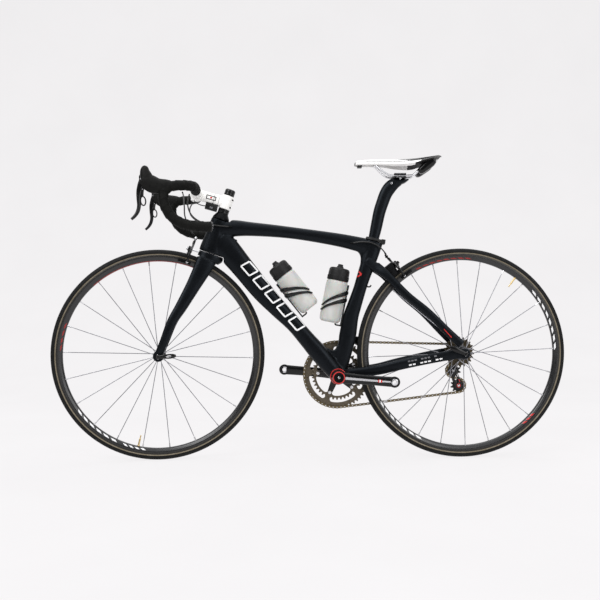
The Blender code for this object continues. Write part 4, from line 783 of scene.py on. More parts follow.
def build_rear_stays():
    legs = []
    for side in (-1, 1):
        leg = blade(handed(SEATSTAY, side), 24, 6, 2.4)
        cut(leg, wheel_space(REAR_AXLE, 0.019, TYRE_RADIUS + SEATSTAY_GAP))
        legs.append(leg)
    bridge = brick(Vector((0.2245, 0, 0.606)), SIDEWAYS, Vector((0.77, 0, -0.64)),
                   (0.046, 0.034, 0.018))
    cut(bridge, wheel_space(REAR_AXLE, 0.03, TYRE_RADIUS + SEATSTAY_GAP))
    stays = skinned([*legs, bridge], 0.0017, 9)
    seatstays = piece(painted(stays, CARBON), "carbon_seatstays", "frame", ["seatstays"], 60)

    solids = []
    for side in (-1, 1):
        leg = blade(handed(CHAINSTAY, side), 24, 6, 2.4)
        cut(leg, wheel_space(REAR_AXLE, 0.0165, TYRE_RADIUS + CHAINSTAY_GAP))
        solids.append(leg)
    yoke = brick(Vector((0.114, 0, 0.2715)), SIDEWAYS, AWAY, (0.058, 0.048, 0.028))
    cut(yoke, wheel_space(REAR_AXLE, 0.03, TYRE_RADIUS + CHAINSTAY_GAP))
    center, hanger = (REAR_AXLE.x, REAR_AXLE.z), (HANGER_BOLT.x, HANGER_BOLT.z)
    left_end = plate(link_outline((center[0] - 0.022, center[1] + 0.001), center, 0.0145, 0.0165),
                     -DROPOUT_FACE["rear"], -HUB_FACE["rear"] - AXLE_GAP)
    right_end = plate(link_outline(center, hanger, 0.0165, 0.009),
                      HUB_FACE["rear"] + AXLE_GAP, DROPOUT_FACE["rear"])
    stays = skinned([*solids, yoke, left_end, right_end], 0.0016, 6)
    piece(painted(stays, CARBON), "carbon_chainstays", "frame", ["chainstays"], 60)

    bolt = turn(rounded(((0.07, 0.0001), (0.07, 0.0098), (0.083, 0.0094), (0.083, 0.0001)), 0.0012),
                HANGER_BOLT, SIDEWAYS, 32)
    piece(painted(bolt, ANODISED_BLACK), "hanger_bolt", "frame")
    return seatstays, stays


def build_fork():
    crown = steer_ovals(((CROWN_TOP - 0.0006, 0.033, 0.046, 0.0265), (0.342, 0.034, 0.047, 0.0275),
                         (0.322, 0.035, 0.03, 0.027), (0.3, 0.034, 0.02, 0.026)))
    solids = [crown]
    for side in (-1, 1):
        solids.append(blade(handed(FORK_BLADE, side), 28, 6, 2.3))
        center = (FRONT_AXLE.x, FRONT_AXLE.z)
        tip = turn(((HUB_FACE["front"] + AXLE_GAP, 0.0165), (DROPOUT_FACE["front"], 0.0165)),
                   Vector((center[0], 0, center[1])), SIDEWAYS * side, 40)
        solids.append(tip)
    for solid in solids:
        cut(solid, wheel_space(FRONT_AXLE, 0.017, TYRE_RADIUS + TYRE_GAP))
    fork = skinned(solids, 0.0017, 7)
    piece(painted(fork, CARBON), "carbon_fork", "steering", ["fork"], 60)
    bolt = turn(rounded(((-0.0305, 0.0001), (-0.0305, 0.0052), (-0.025, 0.0052), (-0.025, 0.0028),
                         (0.019, 0.0028), (0.019, 0.005), (0.0245, 0.0046), (0.0245, 0.0001)), 0.0006),
                Vector(), AWAY, 20)
    moved(bolt, BRAKES["front"])
    piece(painted(bolt, SILVER), "front_brake_bolt", "steering")


def build_rear_brake_mount():
    bolt = turn(rounded(((-0.015, 0.0001), (-0.015, 0.0028), (0.019, 0.0028), (0.019, 0.005),
                         (0.0245, 0.0046), (0.0245, 0.0001)), 0.0006), Vector(), AWAY, 20)
    moved(bolt, BRAKES["rear"])
    block = moved(brick(Vector((-0.0183, 0.0, 0.0012)), AWAY, SIDEWAYS, (0.0434, 0.034, 0.027), 0.003),
                  BRAKES["rear"])
    ears = [moved(brick(Vector((-0.019, side * 0.02, -0.0105)), AWAY, SIDEWAYS,
                        (0.042, 0.005, 0.033), 0.0022), BRAKES["rear"]) for side in (-1, 1)]
    piece(painted(merged([bolt, block, *ears]), ANODISED_BLACK), "rear_brake_mount", "frame")


def build_seatpost():
    post = blade(SEATPOST, 40, 8, 2.3)
    piece(bevelled(painted(post, CARBON), 0.002, 3, 50), "carbon_seatpost", "frame",
          ["seatpost"])
    head = blade(((0.259, 0, 0.8895, 0.004, 0.028), (0.27, 0, 0.885, 0.016, 0.034),
                  (0.286, 0, 0.882, 0.018, 0.036), (0.302, 0, 0.8845, 0.013, 0.036),
                  (0.316, 0, 0.8895, 0.004, 0.03)), 28, 6, 2.6)
    piece(painted(head, CARBON), "seatpost_head", "frame")
    collar = blade(((0.2058, 0, 0.693, 0.061, 0.04), (0.2078, 0, 0.7012, 0.057, 0.038)), 40, 2, 2.6)
    lug = brick(Vector((0.2335, 0, 0.69)), Vector((0.985, 0, -0.17)), SIDEWAYS, (0.0125, 0.03, 0.015))
    collar = skinned([collar, lug], 0.001, 3)
    piece(painted(collar, BLACK_PLASTIC), "seat_collar_wedge", "frame", ["seat_collar"])
    screw = turn(rounded(((0, 0.0001), (0, 0.0036), (0.003, 0.0036), (0.003, 0.0018), (0.0012, 0.0016),
                          (0.0012, 0.0001)), 0.0004), Vector((0.2385, 0, 0.689)),
                 Vector((0.985, 0, -0.17)), 20)
    piece(painted(screw, SILVER), "seat_collar_screw", "frame")
    for name, side in LEFT_RIGHT:
        cap = turn(rounded(((0.012, 0.0001), (0.012, 0.0036), (0.0148, 0.0034), (0.0148, 0.0001)),
                           0.0006), Vector((0.261, 0, 0.8765)), SIDEWAYS * side, 24)
        piece(painted(cap, SILVER), f"seatpost_pin_{name}", "frame")


# ------------------------------------------------------------------ brakes' frames
def brake_frame(axle, polar_degrees, radius, outward):
    """Local frame of a calliper: x away from its bridge, y sideways, z out from the axle."""
    angle = math.radians(polar_degrees)
    away = radial(angle)
    tangent = Vector((-away.z, 0, away.x)) * outward
    return (Matrix.Translation(axle + away * radius)
            @ Matrix((tangent, away.cross(tangent), away)).transposed().to_4x4())


BRAKE_RADIUS = {"front": 0.35, "rear": 0.352}
BRAKES = {"front": brake_frame(FRONT_AXLE, 71.5, BRAKE_RADIUS["front"], 1),
          "rear": brake_frame(REAR_AXLE, 128.0, BRAKE_RADIUS["rear"], -1)}


# ------------------------------------------------------------------ wheels
WHEEL_SEGMENTS = 200
BRAKE_TRACK_LOW = 0.3063
RIM_MARK_LIFT = 0.00018
MARK_SLANT = 1.6                   # degrees


def wheel_ring(profile, axle, materials, pick):
    """A ring about an axle from a closed (y, radius) profile; pick gives a profile edge's material."""
    rings = []
    for i in range(WHEEL_SEGMENTS):
        angle = 2 * math.pi * i / WHEEL_SEGMENTS
        out = radial(angle)
        rings.append([axle + out * r + SIDEWAYS * y for y, r in profile])
    obj = loft(rings, closed=True)
    painted(obj, *materials)
    for index, face in enumerate(obj.data.polygons):
        face.material_index = pick[index % len(profile)]
    return obj


def tyre_profile():
    """(y, radius, material) round the section: tan edge, wall, file tread, wall, tan edge."""
    center = TYRE_RADIUS - TYRE_HALF_WIDTH
    rows = []
    for i in range(37):
        angle = math.radians(-32 + 244 * i / 36)
        tread = 0.00022 * (i % 2) if 9 <= i <= 27 else 0.0
        radius = TYRE_HALF_WIDTH - tread
        kind = 0 if 10 <= i <= 25 else 1
        if i <= 2 or i >= 33:
            kind = 2
        rows.append((radius * math.cos(angle), center + radius * math.sin(angle), kind))
    for i in range(5):
        angle = math.radians(200 - 220 * i / 4)
        radius = TYRE_HALF_WIDTH - 0.0022
        rows.append((radius * math.cos(angle), center + radius * math.sin(angle), 1))
    return rows


RIM_SIDE = ((RIM_RADIUS + 0.0006, RIM_HALF_WIDTH - 0.0006), (RIM_RADIUS - 0.0002, RIM_HALF_WIDTH),
            (0.311, RIM_HALF_WIDTH), (0.3062, 0.01), (0.3056, 0.0096), (0.302, 0.0084),
            (0.299, 0.0066), (0.2972, 0.0042), (RIM_INNER_RADIUS, 0.0014))


def rim_half_width(radius):
    """Half width of the rim at a radius, read along its side."""
    for (r0, w0), (r1, w1) in zip(RIM_SIDE, RIM_SIDE[1:]):
        if r1 <= radius <= r0:
            return w0 + (w1 - w0) * (r0 - radius) / (r0 - r1)
    return RIM_HALF_WIDTH


def rim_profile():
    rows = [(w, r, 1 if r < BRAKE_TRACK_LOW else 0) for r, w in RIM_SIDE]
    rows += [(-w, r, 1 if r <= BRAKE_TRACK_LOW else 0) for r, w in reversed(RIM_SIDE)]
    rows += [(-0.0078, RIM_RADIUS - 0.004, 1), (0.0, 0.302, 1), (0.0078, RIM_RADIUS - 0.004, 1)]
    return rows


def rim_mark(axle, side, degrees, radii, slant=0.0):
    """A thin printed patch on a rim's side wall between two angles and two radii."""
    (a0, a1), (r0, r1) = degrees, radii
    across, round_steps = 5, max(2, int(abs(a1 - a0) / 1.2))
    verts, faces = [], []
    for i in range(round_steps + 1):
        for j in range(across + 1):
            radius = r0 + (r1 - r0) * j / across
            angle = math.radians(a0 + (a1 - a0) * i / round_steps + slant * (j / across - 0.5))
            y = side * (rim_half_width(radius) + RIM_MARK_LIFT)
            verts.append(axle + Vector((math.cos(angle) * radius, y, math.sin(angle) * radius)))
    for i in range(round_steps):
        for j in range(across):
            a = i * (across + 1) + j
            faces.append((a, a + 1, a + across + 2, a + across + 1))
    obj = mesh_object("mark", verts, faces)
    for face in obj.data.polygons:
        if face.normal.y * side < 0:
            face.flip()
    return obj


def spokes(axle, count, first_degrees, flanges, hub_radius, twist_degrees, nipple_material):
    """Bladed spokes from alternate flanges: round at both ends, flat between, in their nipples."""
    parts = []
    for i in range(count):
        rim_angle = math.radians(first_degrees + 360 * i / count)
        side = i % 2
        lean = math.radians(twist_degrees[side] * (1 if (i // 2) % 2 else -1))
        inner = Vector((math.cos(rim_angle + lean), 0, math.sin(rim_angle + lean))) * hub_radius[side]
        inner.y = flanges[side]
        out = radial(rim_angle)
        outer = out * (RIM_INNER_RADIUS + 0.002) + SIDEWAYS * (0.003 if flanges[side] > 0 else -0.003)
        along = (outer - inner).normalized()
        across = along.cross(SIDEWAYS).normalized()
        over = along.cross(across)
        length = (outer - inner).length
        rings = []
        for d, wide, thin in ((-0.002, 0.0011, 0.0011), (0.012, 0.001, 0.001), (0.022, 0.0013, 0.00055),
                              (length - 0.03, 0.0013, 0.00055), (length - 0.02, 0.001, 0.001),
                              (length, 0.001, 0.001)):
            rings.append(oval_ring(axle + inner + along * d, across, over, wide, thin, 8))
        parts.append(painted(loft(rings), SPOKE_STEEL))
        nipple = [oval_ring(axle + inner + along * (length - d), across, over, r, r, 8)
                  for d, r in ((0.0145, 0.0013), (0.014, 0.0018), (0.001, 0.0021))]
        parts.append(painted(loft(nipple), nipple_material))
    return parts


def build_wheel(where, axle, valve_degrees, marks):
    body = f"{where}_wheel"
    rows = tyre_profile()
    tyre = wheel_ring([(y, r) for y, r, _ in rows], axle, (TYRE_TREAD, TYRE_WALL, TYRE_TAN),
                      [kind for _, _, kind in rows])
    piece(tyre, f"{where}_tyre_smooth", body, [f"{where}_tyre"], 50)
    rows = rim_profile()
    parts = [wheel_ring([(y, r) for y, r, _ in rows], axle, (RIM_TRACK, RIM_BLACK),
                        [kind for _, _, kind in rows])]
    for side in (-1, 1):
        for start, end, radii, slant, material in marks:
            parts.append(painted(rim_mark(axle, side, (start, end), radii, slant), material))
    piece(merged(parts), f"{where}_rim_smooth", body, [f"{where}_rim"], 40)

    angle = math.radians(valve_degrees)
    inward = Vector((-math.cos(angle), 0, -math.sin(angle)))
    foot = axle - inward * (RIM_INNER_RADIUS + 0.001)
    stem = turn(rounded(((0.0, 0.003), (0.0012, 0.0042), (0.003, 0.0042), (0.0031, 0.003),
                         (0.025, 0.0028), (0.0262, 0.0018), (0.031, 0.0016), (0.0312, 0.0022),
                         (0.035, 0.002), (0.036, 0.0008)), 0.0004), foot, inward, 24)
    piece(painted(stem, BRASS), f"{where}_valve", body)


def repeated_marks(start, step, count, width, radii, slant, material):
    return [(start + step * i, start + step * i + width, radii, slant, material) for i in range(count)]


def build_front_wheel():
    marks = repeated_marks(214.0, 5.2, 6, 3.2, (0.3, 0.3046), MARK_SLANT, WHITE_DECAL)
    marks += repeated_marks(248.0, 3.6, 4, 2.0, (0.3, 0.3046), MARK_SLANT, WHITE_DECAL)
    marks += [(68.0, 132.0, (0.2968, 0.299), 0.0, RED_DULL)]
    marks += repeated_marks(160.0, 4.4, 4, 2.8, (0.3, 0.304), MARK_SLANT, RED_DULL)
    build_wheel("front", FRONT_AXLE, -103.4, marks)
    face = HUB_FACE["front"] - 0.0004
    profile = ((-face, 0.0068), (-0.045, 0.0072), (-0.0428, 0.0098), (-0.04, 0.012), (-0.039, 0.0172),
               (-0.0352, 0.0176), (-0.0335, 0.012), (-0.025, 0.009), (0.0, 0.008), (0.025, 0.009),
               (0.0335, 0.012), (0.0352, 0.0176), (0.039, 0.0172), (0.04, 0.012), (0.0428, 0.0098),
               (0.045, 0.0072), (face, 0.0068))
    hub = painted(turn(rounded(profile, 0.001), FRONT_AXLE, SIDEWAYS, 48, bore=0.003), HUB_GREY)
    parts = [hub] + spokes(FRONT_AXLE, 22, -2.5, (-0.037, 0.037), (0.015, 0.015), (0, 0), SILVER)
    piece(merged(parts), "front_hub_laced", "front_wheel", ["front_hub"])


def build_rear_wheel():
    marks = repeated_marks(2.0, 5.0, 8, 3.2, (0.3, 0.305), MARK_SLANT, WHITE_DECAL)
    marks += repeated_marks(206.0, 5.0, 8, 3.2, (0.3, 0.305), MARK_SLANT, WHITE_DECAL)
    marks += repeated_marks(84.0, 4.4, 8, 3.0, (0.3004, 0.3046), MARK_SLANT, RED_DULL)
    marks += repeated_marks(311.0, 3.2, 3, 2.0, (0.3, 0.305), MARK_SLANT, RED_PAINT)
    build_wheel("rear", REAR_AXLE, 53.4, marks)
    face = HUB_FACE["rear"] - 0.0004
    profile = ((-face, 0.008), (-0.048, 0.0084), (-0.044, 0.0125), (-0.0405, 0.016), (-0.0398, 0.0215),
               (-0.036, 0.022), (-0.034, 0.015), (-0.025, 0.011), (0.0, 0.0105), (0.013, 0.012),
               (0.0178, 0.018), (0.0182, 0.024), (0.0222, 0.0238), (0.023, 0.0165), (0.027, 0.0165),
               (0.059, 0.016), (0.06, 0.0085), (face, 0.008))
    hub = painted(turn(rounded(profile, 0.0012), REAR_AXLE, SIDEWAYS, 48, bore=0.003), HUB_GREY)
    parts = [hub] + spokes(REAR_AXLE, 24, 2.2, (-0.038, 0.02), (0.0195, 0.0215), (0, 62), SILVER)
    piece(merged(parts), "rear_hub_laced", "rear_wheel", ["rear_hub"])


# ------------------------------------------------------------------ drivetrain
def patterned_ring(center, samples, profile):
    """A ring about a sideways axis; each (y, radius) may give its radius per sample."""
    rings = []
    for i in range(samples):
        angle = 2 * math.pi * i / samples
        out = radial(angle)
        rings.append([in_plane(center) + SIDEWAYS * y
                      + out * (r(i) if callable(r) else r) for y, r in profile])
    return loft(rings, closed=True)


TOOTH = (-0.0036, -0.0033, -0.002, 0.001, 0.0034, 0.0039, 0.0034, 0.001, -0.002, -0.0033)


def toothed(teeth, phase_degrees, trim=0.0):
    """Radius by sample of a sprocket's edge, with a valley at the phase angle."""
    radius, per = pitch_radius(teeth), len(TOOTH)
    shift = round(phase_degrees / 360 * teeth * per)
    return lambda i: radius + TOOTH[(i - shift) % per] - trim


def chain_line():
    """Pitch line of the chain: tangent arcs about the ring, the sprocket and the jockey wheels."""
    wheels = ((BB, pitch_radius(OUTER_TEETH), 1), (REAR_AXLE, pitch_radius(SPROCKETS[0]), 1),
              (JOCKEY_TOP, pitch_radius(JOCKEY_TEETH), -1), (JOCKEY_LOW, pitch_radius(JOCKEY_TEETH), 1))
    headings = []
    for i, (c1, r1, s1) in enumerate(wheels):
        c2, r2, s2 = wheels[(i + 1) % len(wheels)]
        span = Vector((c2.x - c1.x, c2.z - c1.z))
        headings.append(math.atan2(span.y, span.x) - math.asin((s1 * r1 - s2 * r2) / span.length))
    path, owner = [], []
    for i, (center, radius, sense) in enumerate(wheels):
        enter = headings[i - 1] + sense * math.pi / 2
        leave = headings[i] + sense * math.pi / 2
        while (leave - enter) * sense > 0:
            leave -= sense * 2 * math.pi
        steps = max(6, math.ceil(abs(leave - enter) / math.radians(2)))
        for k in range(steps + 1):
            angle = enter + (leave - enter) * k / steps
            path.append(Vector((center.x + radius * math.cos(angle), 0.0,
                                center.z + radius * math.sin(angle))))
            owner.append(i)
    return path, owner


def chain_side(x):
    """The chain leaves the ring's plane for the sprocket's along its straight runs."""
    t = min(max((x - 0.18) / (0.44 - 0.18), 0.0), 1.0)
    return RING_Y + (COG_Y - RING_Y) * t


def chain_pins():
    """Pins at equal steps along the pitch line, and the wheel that each one is on or has left."""
    path, owner = chain_line()
    lengths = [0.0]
    for a, b in zip(path, path[1:] + path[:1]):
        lengths.append(lengths[-1] + (b - a).length)
    count = 2 * round(lengths[-1] / CHAIN_PITCH / 2)
    pins, wheels, k = [], [], 0
    for i in range(count):
        target = lengths[-1] * i / count
        while lengths[k + 1] < target:
            k += 1
        t = (target - lengths[k]) / (lengths[k + 1] - lengths[k])
        point = path[k].lerp(path[(k + 1) % len(path)], t)
        point.y = chain_side(point.x)
        pins.append(point)
        wheels.append(owner[k] if owner[k] == owner[(k + 1) % len(path)] else owner[k] + 0.5)
    return pins, wheels


PLATE_END, PLATE_WAIST = 0.0041, 0.0031      # half heights of a chain plate


def link_plate(start, end, y_low, y_high):
    """A chain plate between two pins, waisted in the middle."""
    along = (end - start).normalized()
    over = along.cross(SIDEWAYS).normalized()
    length = (end - start).length
    outline = []
    for center, begin in ((0.0, 90), (length, -90)):
        for i in range(7):
            angle = math.radians(begin + 30 * i)
            outline.append((center + PLATE_END * math.cos(angle), PLATE_END * math.sin(angle)))
        outline.append((length / 2, -PLATE_WAIST if center == 0.0 else PLATE_WAIST))
    return [start + along * a + over * b + SIDEWAYS * y for y in (y_low, y_high) for a, b in outline]


def chain_run(pins, first, last, name, body):
    """Links first to last: two plates each, and a roller and a riveted pin at every joint."""
    verts, faces, kinds = [], [], []

    def shell(points, kind):
        base, count = len(verts), len(points) // 2
        verts.extend(points)
        for j in range(count):
            k = (j + 1) % count
            faces.append((base + j, base + k, base + count + k, base + count + j))
        faces.append(tuple(range(base, base + count)))
        faces.append(tuple(range(base + 2 * count - 1, base + count - 1, -1)))
        kinds.extend([kind] * (count + 2))

    def roller(center, radius, low, high, kind):
        circle = [radial(a) * radius
                  for a in (2 * math.pi * j / 10 for j in range(10))]
        shell([center + c + SIDEWAYS * y for y in (low, high) for c in circle], kind)

    for i in range(first, last):
        start, end = pins[i % len(pins)], pins[(i + 1) % len(pins)]
        inner, thick = ((0.0013, 0.0021) if i % 2 else (0.0022, 0.003))
        for side in (-1, 1):
            low, high = sorted((side * inner, side * thick))
            shell(link_plate(start, end, low, high), 0)
        roller(start, 0.0037, -0.0012, 0.0012, 1)
        roller(start, 0.0018, -0.0033, 0.0033, 2)
    obj = mesh_object(name, verts, faces)
    painted(obj, CHAIN_GOLD, CHAIN_DARK, SILVER)
    for face, kind in zip(obj.data.polygons, kinds):
        face.material_index = kind
    piece(obj, name, body)
    return obj


def build_chain():
    pins, wheels = chain_pins()
    total = len(pins)

    def after(value):
        return next(i for i in range(total) if wheels[i] > value)

    leaves_cog, on_upper = after(1.4), after(1.9)
    leaves_upper, leaves_lower = after(2.4), after(3.4)
    bend = leaves_lower + 5
    main = chain_run(pins, 0, leaves_cog, "chain_ring_and_cog", "frame")
    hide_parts("chain")
    chain_run(pins, leaves_cog, on_upper, "chain_cog_to_jockey",
              ("frame", "derailleur_body", pins[leaves_cog], pins[on_upper]))
    chain_run(pins, on_upper, leaves_upper, "chain_on_upper_jockey", "derailleur_body")
    chain_run(pins, leaves_upper, leaves_lower, "chain_on_lower_jockey", "derailleur_cage")
    chain_run(pins, leaves_lower, bend, "chain_leaving_cage",
              ("derailleur_body", "derailleur_cage", pins[bend], pins[leaves_lower]))
    chain_run(pins, bend, total, "chain_return", ("frame", "derailleur_body", pins[0], pins[bend]))
    return pins, wheels


def pin_phase(pins, wheels, index, center):
    """Polar angle of the pin in the middle of a wheel's wrap, in degrees."""
    held = [i for i, w in enumerate(wheels) if w == index]
    pin = pins[held[len(held) // 2]]
    return math.degrees(math.atan2(pin.z - center.z, pin.x - center.x))


def lobed(samples, count, phase_degrees, wide, deep, width=0.1):
    """Inner radius of a ring with bolt tabs reaching inward."""
    def radius(i):
        turn_share = (i / samples * 360 - phase_degrees) / 360 * count % 1.0
        near = min(turn_share, 1 - turn_share)
        return wide - (wide - deep) * math.exp(-(near / width) ** 2)
    return radius


SPIDER_PHASE = math.degrees(CRANK_ANGLE) + 180
SPIDER_ARMS = 5
BOLT_CIRCLE = 0.0625
TOOTH_SLIM = 0.0006                # how much lower the chamfered sides of a tooth are
PICKUP_PINS = 10


def build_chainrings(phase):
    samples = OUTER_TEETH * len(TOOTH)
    edge = toothed(OUTER_TEETH, phase)
    slim = toothed(OUTER_TEETH, phase, TOOTH_SLIM)
    inner = lobed(samples, SPIDER_ARMS, SPIDER_PHASE, 0.091, 0.0545, 0.065)
    ring = patterned_ring(BB, samples, (
        (0.0449, inner), (0.0449, 0.094), (0.0452, 0.095), (0.0456, 0.1), (0.0458, slim),
        (0.0463, edge), (0.0467, edge), (0.0472, slim), (0.0474, 0.1), (0.0476, 0.0955),
        (0.0474, inner)))
    parts = [painted(ring, BRONZE)]
    for i in range(PICKUP_PINS):
        angle = math.radians(SPIDER_PHASE + 360 / PICKUP_PINS * i + 11)
        at = BB + radial(angle) * 0.0965
        pin = turned_pin(0.044, 0.0452, 0.0001, 0.0016, 0.0003, in_plane(at), SIDEWAYS, 12)
        parts.append(painted(pin, CHAIN_DARK))
    piece(merged(parts), "chainring_large", "crankset", ["chainring_outer"], 40)
    samples = INNER_TEETH * len(TOOTH)
    edge = toothed(INNER_TEETH, phase)
    slim = toothed(INNER_TEETH, phase, TOOTH_SLIM)
    inner = lobed(samples, SPIDER_ARMS, SPIDER_PHASE, 0.069, 0.0545)
    ring = patterned_ring(BB, samples, (
        (0.0376, inner), (0.0376, 0.0715), (0.0381, slim), (0.0386, edge), (0.0391, edge),
        (0.0397, slim), (0.0402, 0.0715), (0.0402, inner)))
    piece(painted(ring, BRONZE), "chainring_small", "crankset", ["chainring_inner"], 40)


def arm_station(t, side):
    """Middle, half height and half thickness of a crank arm at a share t of its length."""
    rows = ((0.0, 0.019, 0.064, 0.079), (0.22, 0.0165, 0.066, 0.0805), (0.6, 0.015, 0.075, 0.088),
            (1.0, 0.016, 0.0778, 0.0898))
    table = catmull(rows, 10)
    row = min(table, key=lambda r: abs(r[0] - t))
    eye = CRANK_ALONG * CRANK_LENGTH * (1 if side < 0 else -1)
    center = BB + eye * t + SIDEWAYS * side * (row[2] + row[3]) / 2
    return center, row[1], (row[3] - row[2]) / 2


# Bands along each crank arm as (start and end share of its length, half width, lift, material): the
# long silver band down the arm's ridge is a painted highlight; the red, white and red bands near the
# eye are printed stripes.
CRANK_STRIPES_AND_HIGHLIGHT = ((0.118, 0.93, 0.0034, 0.00025, SILVER), (0.7, 0.722, 0.0052, 0.0005, RED_PAINT),
                 (0.726, 0.746, 0.0052, 0.0005, WHITE_DECAL), (0.75, 0.774, 0.0052, 0.0005, RED_PAINT))


def build_crank(name, side):
    along = CRANK_ALONG * (1 if side < 0 else -1)
    across = along.cross(SIDEWAYS).normalized()
    eye = BB + along * CRANK_LENGTH
    rings = []
    for i in range(26):
        center, half, thick = arm_station(i / 25, side)
        rings.append(oval_ring(center, across, SIDEWAYS, half, thick, 36, 3.2))
    tip = turn(rounded(((0.0776, 0.015), (0.078, 0.0173), (0.0896, 0.0173), (0.0899, 0.015)), 0.0016),
               in_plane(eye), SIDEWAYS * side, 48)
    boss = turn(rounded(((0.0632, 0.02), (0.0636, 0.0213), (0.078, 0.0206), (0.0795, 0.018)), 0.0014),
                BB, SIDEWAYS * side, 48)
    body = skinned([loft(rings), tip, boss], 0.0013, 4)
    cut(body, turn(((0.06, 0.0071), (0.11, 0.0071)), in_plane(eye), SIDEWAYS * side, 40))
    painted(body, GLOSS_BLACK)
    parts = []
    profile = ((0.0776, 0.01), (0.0901, 0.01), (0.0903, 0.0096), (0.0903, 0.0066), (0.0892, 0.0062))
    insert = turn(profile, in_plane(eye), SIDEWAYS * side, 40, bore=0.0056)
    parts.append(painted(insert, SILVER))
    profile = ((0.0405, 0.017), (0.0412, 0.0176), (0.0632, 0.0182), (0.064, 0.0182))
    neck = turn(rounded(profile, 0.0006), BB, SIDEWAYS * side, 40)
    parts.append(painted(neck, GLOSS_BLACK))
    ring = turn(((0.0773, 0.019), (0.0799, 0.019)), BB, SIDEWAYS * side, 48, bore=0.0162)
    parts.append(painted(ring, RED_PAINT))
    cap = turn(rounded(((0.078, 0.0158), (0.08, 0.0158), (0.0804, 0.014), (0.0796, 0.009),
                        (0.0796, 0.0001)), 0.0005), BB, SIDEWAYS * side, 40)
    parts.append(painted(cap, ANODISED_BLACK))
    bolt = turn(rounded(((0.079, 0.0001), (0.079, 0.0042), (0.0809, 0.0038), (0.0809, 0.0024),
                         (0.0795, 0.0022), (0.0795, 0.0001)), 0.0004), BB, SIDEWAYS * side, 6)
    parts.append(painted(bolt, SILVER))
    if side > 0:
        spindle = turn(((-0.07, 0.0119), (0.05, 0.0119)), BB, SIDEWAYS, 32)
        parts.append(painted(spindle, SILVER))
        profile = ((0.0404, 0.0195), (0.041, 0.0205), (0.064, 0.0222), (0.065, 0.0215))
        hub = turn(rounded(profile, 0.0008), BB, SIDEWAYS, 48)
        arms = [hub]
        for i in range(SPIDER_ARMS):
            angle = math.radians(SPIDER_PHASE + 360 / SPIDER_ARMS * i)
            reach = (BB.x + BOLT_CIRCLE * math.cos(angle), BB.z + BOLT_CIRCLE * math.sin(angle))
            arms.append(plate(link_outline((BB.x, BB.z), reach, 0.0135, 0.0078), 0.0404, 0.0447))
        parts.append(painted(skinned(arms, 0.0012, 3), GLOSS_BLACK))
        for i in range(SPIDER_ARMS):
            angle = math.radians(SPIDER_PHASE + 360 / SPIDER_ARMS * i)
            at = Vector((BB.x + BOLT_CIRCLE * math.cos(angle), 0, BB.z + BOLT_CIRCLE * math.sin(angle)))
            bolt = turn(rounded(((0.0366, 0.003), (0.0366, 0.0052), (0.0376, 0.0054), (0.0478, 0.0054),
                                 (0.0486, 0.005), (0.0486, 0.003), (0.0478, 0.0028)), 0.0004), at,
                        SIDEWAYS, 24)
            parts.append(painted(bolt, SILVER))
    # The first band paints a highlight down the arm in silver; the rest are printed stripes.
    for start, end, half, lift, material in CRANK_STRIPES_AND_HIGHLIGHT:
        rows = []
        for k in range(25):
            t = start + (end - start) * k / 24
            at = BB + along * CRANK_LENGTH * t
            rows.append([(at + across * half * (1.25 - 0.65 * t) * (j / 4 - 1)) for j in range(9)])
        parts.append(painted(decal(body, rows, SIDEWAYS * -side, lift), material))
    body = merged([body] + parts)
    piece(body, f"crank_arm_{name}", "crankset", [f"crank_{name}"], 40)


def decal(target, rows, inward, lift):
    """A thin patch for prints and for a painted highlight: a grid of points cast inward onto a piece
    and lifted off it a little.
    """
    bm = bmesh.new()
    bm.from_mesh(target.data)
    tree = BVHTree.FromBMesh(bm)
    bm.free()
    verts, index = [], {}
    for i, row in enumerate(rows):
        for j, point in enumerate(row):
            hit, normal, _, _ = tree.ray_cast(Vector(point) - inward * 0.3, inward, 0.6)
            if hit is not None and normal.dot(inward) < -0.15:
                index[i, j] = len(verts)
                verts.append(hit + normal * lift)
    faces = []
    for i in range(len(rows) - 1):
        for j in range(len(rows[i]) - 1):
            quad = [(i, j), (i, j + 1), (i + 1, j + 1), (i + 1, j)]
            if all(corner in index for corner in quad):
                faces.append(tuple(index[corner] for corner in quad))
    obj = mesh_object("decal", verts, faces)
    flip = sum(face.normal.dot(inward) for face in obj.data.polygons) > 0
    if flip:
        obj.data.flip_normals()
    return obj


def build_bottom_bracket():
    for name, side in LEFT_RIGHT:
        profile = rounded(((0.0343, 0.0215), (0.0343, 0.0225), (0.0385, 0.0225), (0.0398, 0.0195)),
                          0.0005)
        cup = painted(turn(profile, BB, SIDEWAYS * side, 48, bore=0.0123), ANODISED_BLACK)
        notches = []
        for i in range(12):
            angle = math.radians(30 * i)
            out = radial(angle)
            notches.append(painted(brick(BB + SIDEWAYS * side * 0.0362 + out * 0.0226, out,
                                         out.cross(SIDEWAYS), (0.001, 0.0046, 0.0032), 0.0003),
                                   ANODISED_BLACK))
        band = turn(((0.034, 0.0252), (0.0352, 0.0252), (0.0354, 0.0248)), BB, SIDEWAYS * side, 64,
                    bore=0.0228)
        notches.append(painted(band, RED_PAINT))
        piece(merged([cup] + notches), f"bearing_cup_{name}", "frame",
              [f"bb_cup_{name}"])


